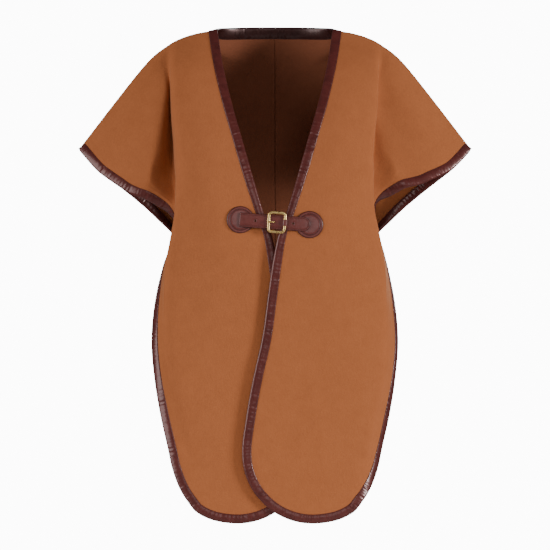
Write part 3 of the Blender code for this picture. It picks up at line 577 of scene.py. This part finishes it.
BACK_OUTER = (
    (0, 357, -8, -217), (1, 326, 8, -250), (2, 296, 20, -274), (3, 268, 28, -296),
    (4, 240, 36, -319), (5, 210, 44, -347), (5.5, 187, 49, -370), (6, 174, 54, -394),
    (7, 181, 58, -450), (8, 206, 60, -560), (9, 202, 68, -670), (10, 185, 76, -768),
)
BACK_CREASES = {
    LEFT: ((120, -180, 104, -420, 26, 2.4), (60, -360, 74, -640, 30, -2.2),
           (130, -520, 116, -800, 32, 2.6), (240, -130, 286, -236, 24, 2.0),
           (168, -300, 120, -352, 18, -1.8)),
    RIGHT: ((126, -200, 96, -380, 24, 2.2), (52, -420, 66, -720, 30, 2.0),
            (140, -560, 128, -780, 30, -2.0), (252, -140, 300, -244, 26, 2.2),
            (160, -310, 112, -372, 20, 1.6)),
}


def back_row(row, widths):
    """One row of a back, out from the neck or middle seam; past the last table row its outer
    corner is rounded."""
    along = min(row, LAST_ROW)
    tables = (BACK_BLADE, BACK_RIDGE, BACK_VALLEY, BACK_CREST, BACK_OUTER)
    stations = [smooth(table, along) for table in tables]
    if row < 1:
        turn = row * math.pi / 2
        neck = (FRONT_EDGE[0][1] * math.cos(turn), NECK_DEPTH * math.sin(turn),
                NECK_RISE * math.sin(turn))
        stations.insert(0, np.array(neck))
    else:
        stations.insert(0, smooth(BACK_MIDDLE, along))
    points = across(np.array(stations), row, widths)
    if row <= LAST_ROW:
        return points
    last = math.radians(BACK_ROUND_ANGLE)
    angle = last * (row - LAST_ROW)
    outer = points[-1, 0]
    points[:, 0] *= (outer - BACK_ROUND * (1 - math.cos(angle))) / outer
    past = points[:, 0] / points[-1, 0] * (outer - BACK_ROUND * (1 - math.cos(last)))
    past = np.maximum(past - outer + BACK_ROUND, 0) / BACK_ROUND
    arc = np.sqrt(1 - past ** 2) - math.sin(last)
    points[:, 2] -= BACK_ROUND * (math.sin(angle) + arc * (row - LAST_ROW) ** 2)
    return points


def sew(first, second, first_line, second_line):
    """Mitre two pieces of felt along a seam and let both dip into it."""
    shared = unit(first[first_line] + second[second_line])
    first[first_line] = shared * SEAM_DIP
    second[second_line] = shared * SEAM_DIP


backs = {side: Panel(back_row, BACK_ROWS, side, 1, BACK_CREASES[side], NECK_ROWS)
         for side in SIDES}
back_felt = {side: backs[side].fine() for side in SIDES}
for side in SIDES:
    sew(front_felt[side][1], back_felt[side][1], np.s_[0], np.s_[0])
middle_seam = np.s_[NECK_ROWS * FINE_ROWS + 1:, 0]
sew(back_felt[LEFT][1], back_felt[RIGHT][1], middle_seam, middle_seam)
for name, pieces in (("front", front_felt), ("back", back_felt)):
    for side, word in SIDE_WORDS.items():
        node = f"{name}_{word}"
        felt_piece(f"felt_{node}", *pieces[side], node)

# The binding is a strip of thin glossy leather, folded over every free edge of the felt and
# sewn down close to its turned rims. The sewing gathers it a little, so it puffs up and
# puckers across its width.
BIND_STEP = 1.35
BIND_RIM = 0.94
BIND_EDGE = 2.3
BIND_INSIDE, BIND_LEAST = 0.12, 0.1
BIND_SHOULDER = (0.75, 0.8)
RIMS_TURNED = 3
SEAM_GAP = 0.3
# Half of the folded strip: share from the fold to the rim, and height over the felt
BIND_PROFILE = ((1.0, 0.15), (0.975, 0.75), (0.9, 1.15), (0.72, 1.75), (0.5, 2.0), (0.26, 1.9),
                (0.06, 1.45))
PUCKER_DEPTH, PUCKER_LENGTH, PUCKER_FULL, CALM_LENGTH = 0.62, 3.6, 1.2, 34
SLIM_AT, SLIM_LONG, SLIM_SHARE, SLIM_INSIDE = -345, 60, 0.22, 70
END_ROUND, END_LEAST = 9, 0.05
WIDEN_OVER = 30
STITCH_EVERY, STITCH_SHARE, STITCH_THICK = 4.2, 0.72, 0.5
STITCH_INSET, STITCH_LIFT, STITCH_SUNK = 0.93, 1.05, 0.2
# Corners of a stitch's faces: its two ends, then three round each of two sections
STITCH_FACES = ((0, 2, 3), (0, 3, 4), (0, 4, 2), (1, 6, 5), (1, 7, 6), (1, 5, 7), (2, 5, 6, 3),
                (3, 6, 7, 4), (4, 7, 5, 2))


def glossy_leather(name, dark, light):
    """Oxblood leather: fine pebbled grain under a clear shine, with painted shade along its
    turned rims, where it meets the felt.
    """
    look = Look(name, Specular_IOR_Level=0.42, Specular_Tint=(1.0, 0.66, 0.62, 1),
                Coat_Weight=0.18, Coat_Roughness=0.16)
    cloud = look.noise(60, 3)
    grain = look.node("ShaderNodeTexVoronoi", {"feature": "DISTANCE_TO_EDGE"},
                      {"Vector": look.place, "Scale": 1100.0})
    pebble = look.node("ShaderNodeValToRGB", {"stops": ((0.0, 0.0), (0.12, 1.0))}, {0: grain})
    scuff = look.noise(420, 4)
    # Painted shade along the binding's turned rims, where it meets the felt
    rim = look.marked("rim")
    shade = cloud * 0.8 + scuff * 0.4 - 0.1 - rim * 0.8
    look.paint(Base_Color=look.mix(shade, dark, light),
               Roughness=0.22 + cloud * 0.14 + scuff * 0.08,
               Normal=look.bump(pebble * 0.3 + scuff * 0.4, 0.14, 0.0003))
    return look.material


def felt_below(pieces):
    """Ways to find a place on the felt's middle surface, and the way out there."""
    points, ways, faces = [], [], []
    for grid, outs in pieces:
        base = len(points)
        points += [Vector(point) for point in grid.reshape(-1, 3)]
        ways += list(outs.reshape(-1, 3))
        faces += [tuple(base + corner for corner in face) for face in grid_quads(*grid.shape[:2])]
    tree = BVHTree.FromPolygons(points, faces)

    def way_out(place, face):
        shares = poly_3d_calc([points[corner] for corner in faces[face]], place)
        way = sum(share * ways[corner] for share, corner in zip(shares, faces[face]))
        return np.array(place), way / np.linalg.norm(way)

    def nearest(target):
        place, _, face, _ = tree.find_nearest(Vector(target))
        return way_out(place, face)

    def ahead(x, z):
        place, _, face, _ = tree.ray_cast(Vector((x, -1000, z)), Vector((0, 1, 0)))
        return way_out(place, face)

    return nearest, ahead


def edge_line(runs, wide):
    """A fine line along an edge of the felt and others beside it, out to a binding's width, with
    the ways out there. A seam that it crosses leaves one point."""
    spots = []
    for panel, run in runs:
        for edge, inner in run:
            spots.append([panel.points[edge], panel.points[inner]])
    spots = np.array(spots)
    apart = np.linalg.norm(np.diff(spots[:, 0], axis=0), axis=1)
    spots = spots[np.concatenate(([True], apart > SEAM_GAP))]
    knots = run_length(spots[:, 0])
    places = np.linspace(0, knots[-1], int(knots[-1] / BIND_STEP) + 1)
    edge, inner = np.einsum("ab,bcx->cax", through(knots, places), spots)
    nearest, _ = felt_below([(front_felt if panel.seam is None else back_felt)[panel.side]
                             for panel, _ in runs])
    edge = np.array([nearest(point)[0] for point in edge])
    along = unit(np.gradient(edge, axis=0))
    inward = inner - edge
    inward = unit(inward - along * np.sum(inward * along, axis=1, keepdims=True))
    slim = SLIM_SHARE * np.exp(-((edge[:, 2] - SLIM_AT) / SLIM_LONG) ** 2)
    slim = slim * (abs(edge[:, 0]) < SLIM_INSIDE)
    widening = (wide - BIND_WIDTH) * ease(np.minimum(places, places[-1] - places), 0, WIDEN_OVER)
    reach = ((BIND_WIDTH + widening) * BIND_RIM * (1 - slim))[:, None]
    lines = {}
    for share in {share for share, _ in BIND_PROFILE} | {STITCH_INSET, 0.0}:
        found = [nearest(point) for point in edge + inward * reach * share]
        lines[share] = np.array([place for place, _ in found]), np.array([way for _, way in found])
    return places, inward, lines


def pucker(place, share, seed):
    """How far the gathered leather swells out or sinks at a place."""
    wave = noise.noise(Vector((place / PUCKER_LENGTH, share * 0.5, seed)))
    small = noise.noise(Vector((place / PUCKER_LENGTH * 2, share * 1.2, seed + 5)))
    calm = 0.7 + 1.1 * noise.noise(Vector((place / CALM_LENGTH, 0, seed + 9)))
    return (wave * 1.2 + small * 0.3) * calm


def binding(name, runs, node, wide, leather):
    """Leather folded over the edges that the runs list, with its puckers. Gives the line that
    it is sewn along, with the ways out of the felt there."""
    places, inward, lines = edge_line(runs, wide)
    edge, edge_out = lines[0.0]
    ends = np.clip(np.minimum(places, places[-1] - places) / END_ROUND, END_LEAST, 1)
    round_off = np.sqrt(1 - (1 - ends) ** 2)
    fold = inward * (BIND_EDGE * round_off)[:, None]
    sections = []
    for face in (1, -1):
        for share, height in BIND_PROFILE:
            spot, out = lines[share]
            swell = PUCKER_DEPTH * min(height, PUCKER_FULL)
            puff = [height + pucker(place, share, face * 7) * swell for place in places]
            puff = np.maximum(puff, BIND_LEAST) * round_off
            sections.append(spot + out * face * (WOOL / 2 + puff)[:, None])
        over, beside = BIND_SHOULDER
        sections.append(edge - fold * over + edge_out * face * WOOL * beside)
    half = len(BIND_PROFILE) + 1
    outside, inside = sections[:half], sections[half:][::-1]
    tip = edge - fold
    inner, inner_out = lines[1.0]
    away = WOOL / 2 + BIND_INSIDE
    lining = [inner - inner_out * away, edge - edge_out * away, edge + edge_out * away,
              inner + inner_out * away]
    rings = np.stack(outside + [tip] + inside + lining, axis=1)
    count, size = rings.shape[:2]
    faces = grid_quads(count, size, ring_columns=True)
    for base in (0, (count - 1) * size):
        faces.append(tuple(base + corner for corner in range(size)))
    made = finish_piece(name, rings.reshape(-1, 3), faces, leather, node)
    # Painted shade on the turned rims, where the binding meets the felt, and on its hidden lining
    rim = [1.0] + [0.0] * (2 * half - 1) + [1.0] * (1 + len(lining))
    mark(made, "rim", rim * count)
    width = 2 * wide * BIND_RIM + 2 * BIND_EDGE + WOOL + RIMS_TURNED
    width * MM
    places[-1] * MM
    return lines[STITCH_INSET]


def stitch_row(name, spots, outs, every=STITCH_EVERY):
    """A row of short stitches along a line of points, each a low pointed bead of thread."""
    length = run_length(spots)
    points, faces = [], []
    for start in np.arange(every / 2, length[-1] - every, every):
        ends = [np.array([np.interp(at, length, spots[:, axis]) for axis in range(3)])
                for at in (start, start + every * STITCH_SHARE)]
        out = np.array([np.interp(start, length, outs[:, axis]) for axis in range(3)])
        run = ends[1] - ends[0]
        beside = np.cross(run, out)
        beside *= STITCH_THICK / 2 / np.linalg.norm(beside)
        base = len(points)
        points += [ends[0] - out * STITCH_SUNK, ends[1] - out * STITCH_SUNK]
        for share in (0.25, 0.75):
            middle = ends[0] + run * share
            points += [middle + beside, middle + out * STITCH_THICK * 0.8, middle - beside]
        faces += [tuple(base + corner for corner in face) for face in STITCH_FACES]
    finish_piece(name, points, faces, thread.material)


bind_leather = glossy_leather("binding_leather", (0.026, 0.005, 0.005, 1),
                              (0.115, 0.023, 0.019, 1))
# A darker copy of the binding leather: painted shade for the binding round the back of the neck
neck_leather_painted_shade = glossy_leather("neck_leather_painted_shade", (0.008, 0.002, 0.002, 1), (0.032, 0.009, 0.008, 1))
thread = Look("waxed_thread", Roughness=0.5)
thread.paint(Base_Color=thread.mix(thread.noise(900, 2), (0.05, 0.018, 0.016, 1),
                                   (0.17, 0.06, 0.052, 1)),
             Normal=thread.bump(thread.noise(2600, 2), 0.4, 0.0003))
edge_runs = {}
for side, word in SIDE_WORDS.items():
    front = fronts[side]
    whole = front.bound("first") + front.bound("end") + front.bound("outer")[::-1]
    edge_runs[f"front_{word}"] = [(front, whole)]
left, right = backs[LEFT], backs[RIGHT]
edge_runs["back_neck"] = [(left, left.bound("neck")), (right, right.bound("neck")[::-1])]
edge_runs["back_outer"] = [(left, left.bound("outer") + left.bound("hem")[::-1]),
                           (right, right.bound("hem") + right.bound("outer")[::-1])]
for word, runs in edge_runs.items():
    wide, leather = BIND_WIDTH, bind_leather
    # The back neck's binding takes the darker copy of the leather, painted shade
    if word == "back_neck":
        wide, leather = NECK_WIDTH, neck_leather_painted_shade
    sewn, out = binding(f"leather_{word}", runs, f"binding_{word}", wide, leather)
    for face, label in ((1, "outside"), (-1, "inside")):
        lift = out * face * (WOOL / 2 + STITCH_LIFT)
        stitch_row(f"stitches_{word}_{label}", sewn + lift, out * face)

# The coat closes at the chest with one leather strap. Its square start is sewn down on the
# right front's patch and its round tip on the left front's patch. Both patches are leather
# with a sewn, sunken ring and dark painted edges.
PATCHES = {LEFT: (62.5, -356), RIGHT: (-63, -347)}
PATCH_REACH = ((0, 23.5), (13, 23.8), (26, 24.8), (39, 25.2), (52, 24.5), (180, 24.5))
# Share of the reach, height over the felt and how dark it is there: dark edge paint at the
# rim, and painted shade in the sunken sewn ring
PATCH_PROFILE = ((0.0, 2.3, 0), (0.3, 2.3, 0), (0.6, 2.35, 0), (0.7, 2.3, 0), (0.74, 1.9, 0.3),
                 (0.765, 1.6, 0.9), (0.79, 1.9, 0.3), (0.83, 2.4, 0), (0.89, 2.5, 0),
                 (0.94, 2.25, 0.1), (0.965, 1.9, 0.8), (0.99, 1.2, 1), (1.0, 0.6, 1),
                 (0.985, 0.15, 1), (0.9, 0.1, 1), (0.5, 0.1, 1), (0.0, 0.1, 1))
PATCH_CLEAR = 0.5
PATCH_SIDES = 96
PATCH_UNEVEN, PATCH_UNEVEN_OVER = 0.12, 6
STRAP_WIDTH, STRAP_THICK = 26, 2.4
STRAP_FROM, STRAP_TO = -1, 127
# Where the strap's back rests: along its run, y
STRAP_RESTS = ((-3, -126.5), (102.2, -133.96), (115.6, -134.43), (120, -134.55), (124, -134.43),
               (129, -134.24))
# Share of the strap's half width, height from its back and how dark it is there: dark edge
# paint along its edges, and painted shade in the sunken sewn line
STRAP_PROFILE = ((0.0, 2.4, 0), (0.3, 2.4, 0), (0.6, 2.38, 0), (0.74, 2.3, 0.1), (0.775, 2.0, 0.8),
                 (0.81, 2.3, 0.1), (0.87, 2.4, 0), (0.93, 2.3, 0.2), (0.97, 2.0, 0.9),
                 (1.0, 1.3, 1), (0.985, 0.4, 1), (0.94, 0.05, 1), (0.5, 0.0, 1), (0.0, 0.0, 1))
STRAP_ROWS, TIP_STEPS = 78, 24
HOLES = (27.5, 62.5, 96)
HOLE_RADIUS, PUNCH_DEPTH = 1.8, 12
FINE_STITCH = 2.7
SEWN_RING, RING_LIFT = 0.765, 1.75
SEWN_BORDER, BORDER_LIFT = 0.775, 2.1


def strap_spot(along, across_by, lift):
    """A point of the strap: along its run, across it and out from its back."""
    run = np.array(PATCHES[LEFT]) - PATCHES[RIGHT]
    run /= np.linalg.norm(run)
    x, z = PATCHES[RIGHT] + run * along + np.array((-run[1], run[0])) * across_by
    return np.array((x, np.interp(along, *zip(*STRAP_RESTS)) - lift, z))


def patch(word, side):
    """A patch, with the ring of stitches in its sunken line."""
    _, ahead = felt_below([front_felt[side]])
    centre, other = np.array(PATCHES[side]), np.array(PATCHES[-side])
    turn = math.atan2(*(other - centre)[::-1])
    degrees, reaches = zip(*PATCH_REACH)
    points, edge_paint_and_shade, ring, ways = [], [], [], []
    for corner in range(PATCH_SIDES):
        angle = 360 * corner / PATCH_SIDES
        reach = np.interp(min(angle, 360 - angle), degrees, reaches)
        way = turn + math.radians(angle)
        run = np.array((math.cos(way), math.sin(way)))
        for share, height, dark in PATCH_PROFILE:
            place, out = ahead(*(centre + run * reach * share))
            spot = Vector((*(run * reach * share / PATCH_UNEVEN_OVER), side * 9))
            soft = PATCH_UNEVEN * noise.noise(spot) * (height > 1)
            points.append(place + out * (WOOL / 2 + PATCH_CLEAR + height + soft))
            edge_paint_and_shade.append(dark)
        place, out = ahead(*(centre + run * reach * SEWN_RING))
        ring.append(place + out * (WOOL / 2 + PATCH_CLEAR + RING_LIFT))
        ways.append(out)
    faces = grid_quads(PATCH_SIDES, len(PATCH_PROFILE), ring_rows=True)
    made = finish_piece(f"leather_patch_{word}", points, faces, calf.material,
                        f"patch_{word}")
    mark(made, "rim", edge_paint_and_shade)
    close_up(made)
    ring, ways = np.array(ring + ring[:1]), np.array(ways + ways[:1])
    stitch_row(f"stitches_patch_{word}", ring, ways, FINE_STITCH)


def pick(made):
    """Select one object alone."""
    bpy.ops.object.select_all(action="DESELECT")
    bpy.context.view_layer.objects.active = made
    made.select_set(True)


def close_up(made):
    """Merge the points that lie together and drop faces without an area."""
    pick(made)
    bpy.ops.object.mode_set(mode="EDIT")
    bpy.ops.mesh.select_all(action="SELECT")
    bpy.ops.mesh.remove_doubles(threshold=0.01 * MM)
    bpy.ops.mesh.dissolve_degenerate(threshold=0.01 * MM)
    bpy.ops.mesh.normals_make_consistent(inside=False)
    bpy.ops.object.mode_set(mode="OBJECT")


def finish_with(made, kind, **settings):
    """Adds a modifier with its settings and applies it."""
    bpy.context.view_layer.objects.active = made
    modifier = made.modifiers.new(kind.lower(), kind)
    for name, value in settings.items():
        setattr(modifier, name, value)
    bpy.ops.object.modifier_apply(modifier=modifier.name)


def strap():
    """The strap with its sewn border and its three punched holes."""
    half = STRAP_WIDTH / 2
    turning = STRAP_TO - half
    outline = [(along, along, half) for along in np.linspace(STRAP_FROM, turning, STRAP_ROWS)]
    for angle in np.linspace(math.pi / 2, -math.pi / 2, TIP_STEPS)[1:-1]:
        outline.append((turning, turning + half * math.cos(angle), half * math.sin(angle)))
    outline += [(along, along, -half) for along in np.linspace(turning, STRAP_FROM, STRAP_ROWS)]
    points, edge_paint_and_shade = [], []
    for base, along, wide in outline:
        for share, height, dark in STRAP_PROFILE:
            points.append(strap_spot(base + (along - base) * share, wide * share, height))
            edge_paint_and_shade.append(dark)
    size, count = len(STRAP_PROFILE), len(outline)
    faces = grid_quads(count, size)
    last = (count - 1) * size
    faces += [tuple(range(size)), tuple(last + step for step in reversed(range(size)))]
    made = finish_piece("leather_strap", points, faces, calf.material, "strap")
    mark(made, "rim", edge_paint_and_shade)
    close_up(made)
    for along in HOLES:
        bpy.ops.mesh.primitive_cylinder_add(
            vertices=24, radius=HOLE_RADIUS * MM, depth=PUNCH_DEPTH * MM,
            location=strap_spot(along, 0, STRAP_THICK / 2) * MM, rotation=(math.pi / 2, 0, 0))
        punch = bpy.context.object
        finish_with(made, "BOOLEAN", object=punch)
        bpy.data.objects.remove(punch)
    border = [strap_spot(base + (along - base) * SEWN_BORDER, wide * SEWN_BORDER, BORDER_LIFT)
              for base, along, wide in outline]
    stitch_row("stitches_strap", np.array(border), np.array([(0, -1, 0)] * count), FINE_STITCH)


calf = Look("strap_leather", Specular_IOR_Level=0.32, Coat_Weight=0.12, Coat_Roughness=0.2)
calf_cloud, calf_grain = calf.noise(90, 3), calf.noise(900, 3)
# Dark edge paint, and painted shade in the sunken sewn lines, where the mesh is marked so
calf_edge_paint_and_shade = calf.marked("rim")
calf.paint(
    Base_Color=calf.mix(calf_edge_paint_and_shade, calf.mix(calf_cloud * 0.9 + calf_grain * 0.3 - 0.1,
                                            (0.068, 0.014, 0.012, 1), (0.15, 0.033, 0.027, 1)),
                        (0.016, 0.004, 0.004, 1)),
    Roughness=0.26 + calf_cloud * 0.14 + calf_edge_paint_and_shade * 0.15,
    Normal=calf.bump(calf_grain * 0.7 + calf_cloud * 0.3, 0.25, 0.0004))
for side, word in SIDE_WORDS.items():
    patch(word, side)
strap()

# The buckle is a cast brass frame with clipped round corners, worn smooth. The strap runs under
# it, its prong comes up through the middle hole and rests on the frame, and a narrow leather
# loop holds the other bar down on the strap.
BUCKLE_AT, BUCKLE_WIDTH, BUCKLE_HEIGHT, BUCKLE_CORNER = 66.5, 34, 39.5, 8
BUCKLE_BAR, BUCKLE_THICK, BUCKLE_BEVEL = 4.6, 3.0, 1.1
BUCKLE_LIFT = STRAP_THICK + SEAM_GAP
PRONG_RADIUS = 1.4
# Along the strap, height from its back and share of the prong's radius
PRONG = ((71.5, -2.3, 0.8), (66.5, -2.3, 0.85), (63.4, -1.8, 0.75), (62.6, 1.2, 0.7),
         (61.6, 4.4, 0.75), (55.6, 7.2, 0.95), (51.0, 7.5, 1.0), (49.0, 7.1, 0.6))
LOOP_WIDTH, LOOP_LEATHER, LOOP_BEVEL, LOOP_POINTS = 11, 1.2, 0.3, 7
# Middle line of the loop's leather: along from the bar's middle, height from the strap's back
LOOP_LINE = ((-3.2, 2.9), (-3.25, 4.2), (-3.1, 5.5), (-2.5, 6.3), (-1.4, 6.7), (0, 6.8),
             (1.4, 6.7), (2.5, 6.3), (3.1, 5.5), (3.25, 4.2), (3.2, 2.9))


def place_down(made, node, material):
    """Apply a finished piece's place and give it its body and its finish."""
    pick(made)
    bpy.ops.object.transform_apply(location=True, rotation=True, scale=True)
    bpy.ops.object.shade_smooth_by_angle(angle=math.radians(40))
    made.data.materials.clear()
    made.data.materials.append(material)
    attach(made, "root")
    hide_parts(node)


brass = Look("worn_brass", Metallic=1.0)
tarnish, scratch = brass.noise(90, 3), brass.noise(600, 2, (0.15, 1, 1))
brass.paint(Base_Color=brass.mix(tarnish, (0.62, 0.38, 0.12, 1), (0.88, 0.64, 0.27, 1)),
            Roughness=0.2 + tarnish * 0.1 + scratch * 0.05,
            Normal=brass.bump(scratch * 0.5 + tarnish * 0.5, 0.04, 0.0002))
bpy.ops.object.select_all(action="DESELECT")
bpy.ops.mesh.primitive_plane_add(size=1, rotation=(math.pi / 2, 0, 0))
buckle = bpy.context.object
buckle.name = "brass_frame"
buckle.scale = (BUCKLE_WIDTH * MM, BUCKLE_HEIGHT * MM, 1)
bpy.ops.object.transform_apply(location=False, rotation=True, scale=True)
bpy.ops.object.mode_set(mode="EDIT")
bpy.ops.mesh.select_all(action="SELECT")
bpy.ops.mesh.bevel(offset=BUCKLE_CORNER * MM, segments=6, affect="VERTICES")
bpy.ops.mesh.select_all(action="SELECT")
bpy.ops.mesh.inset(thickness=BUCKLE_BAR * MM)
bpy.ops.mesh.delete(type="FACE")
bpy.ops.object.mode_set(mode="OBJECT")
finish_with(buckle, "SOLIDIFY", thickness=BUCKLE_THICK * MM, offset=0)
finish_with(buckle, "BEVEL", width=BUCKLE_BEVEL * MM, segments=4, limit_method="ANGLE",
            angle_limit=math.radians(50))
middle = strap_spot(BUCKLE_AT, 0, BUCKLE_LIFT + BUCKLE_THICK / 2)
beside = strap_spot(BUCKLE_AT + 10, 0, BUCKLE_LIFT + BUCKLE_THICK / 2) - middle
buckle.location = middle * MM
buckle.rotation_euler = (0, -math.atan2(beside[2], beside[0]), math.atan2(beside[1], beside[0]))
place_down(buckle, "buckle_frame", brass.material)

route = bpy.data.curves.new("brass_prong", "CURVE")
route.dimensions = "3D"
route.bevel_depth = PRONG_RADIUS * MM
route.bevel_resolution = 4
route.use_fill_caps = True
line = route.splines.new("NURBS")
line.points.add(len(PRONG) - 1)
line.use_endpoint_u = True
line.order_u = 3
for knot, (along, lift, share) in zip(line.points, PRONG):
    knot.co = (*(strap_spot(along, 0, lift) * MM), 1)
    knot.radius = share
pick(add_object("brass_prong", route))
bpy.ops.object.convert(target="MESH")
place_down(bpy.context.object, "buckle_prong", brass.material)

bar = BUCKLE_AT + BUCKLE_WIDTH / 2 - BUCKLE_BAR / 2
ends = np.linspace(-LOOP_WIDTH / 2, LOOP_WIDTH / 2, LOOP_POINTS)
points = [strap_spot(bar + along, end, lift) for along, lift in LOOP_LINE for end in ends]
mesh = bpy.data.meshes.new("leather_loop")
mesh.from_pydata([tuple(point * MM) for point in points], [],
                 grid_quads(len(LOOP_LINE), len(ends)))
loop = add_object("leather_loop", mesh)
finish_with(loop, "SOLIDIFY", thickness=LOOP_LEATHER * MM, offset=0)
finish_with(loop, "BEVEL", width=LOOP_BEVEL * MM, segments=2, limit_method="ANGLE")
place_down(loop, "buckle_loop", calf.material)

# Camera, light and floor. The coat hangs clear of a plain pale floor in white surroundings. A
# small strong light stands at the picture's right and a large soft one at its left, with dimmer
# ones before and behind the coat.
CAMERA_AWAY, CAMERA_HEIGHT, FRAME_WIDE, SENSOR_MM = 14.0, -0.447, 1.004, 36
# Name, place and size in metres, watts
LIGHTS = (
    ("key", (3.4, -1.8, 0.0), 1.0, 166),
    ("fill", (-3.3, -1.9, 0.0), 2.8, 150),
    ("front", (0.6, -4.4, 0.3), 1.6, 25),
    ("back", (0.6, 3.4, 0.9), 2.4, 95),
)
# The surroundings' strength as light and where the camera sees them
AMBIENT, BACKDROP = 0.12, 12
FLOOR_SIZE, FLOOR_SPOT = 1.6, (0, -0.4, -1.02)
camera = bpy.data.cameras.new("camera")
camera.sensor_width = SENSOR_MM
camera.lens = SENSOR_MM * CAMERA_AWAY / FRAME_WIDE
camera_object = add_object("camera", camera)
camera_object.location = (0, -CAMERA_AWAY, CAMERA_HEIGHT)
camera_object.rotation_euler = (math.pi / 2, 0, 0)
bpy.context.scene.camera = camera_object
for word, spot, wide, watts in LIGHTS:
    light = bpy.data.lights.new(word, "AREA")
    light.size = wide
    light.energy = watts
    lamp = add_object(word, light)
    lamp.location = spot
    aim = Vector((0, 0, CAMERA_HEIGHT)) - Vector(spot)
    lamp.rotation_euler = aim.to_track_quat("-Z", "Y").to_euler()
world = bpy.data.worlds.new("studio")
world.use_nodes = True
sky = world.node_tree
seen = sky.nodes.new("ShaderNodeLightPath")
span = sky.nodes.new("ShaderNodeMapRange")
span.inputs["To Min"].default_value = AMBIENT
span.inputs["To Max"].default_value = BACKDROP
sky.links.new(seen.outputs["Is Camera Ray"], span.inputs["Value"])
sky.nodes["Background"].inputs["Color"].default_value = (1, 1, 1, 1)
sky.links.new(span.outputs["Result"], sky.nodes["Background"].inputs["Strength"])
bpy.context.scene.world = world
bpy.ops.object.select_all(action="DESELECT")
bpy.ops.mesh.primitive_plane_add(size=FLOOR_SIZE, location=FLOOR_SPOT)
floor = bpy.context.object
floor.name = "floor"
floor_look = Look("pale_floor", Roughness=0.7)
floor_look.paint(Base_Color=floor_look.mix(floor_look.noise(3, 3), (0.74, 0.74, 0.73, 1),
                                           (0.82, 0.82, 0.81, 1)))
floor.data.materials.append(floor_look.material)
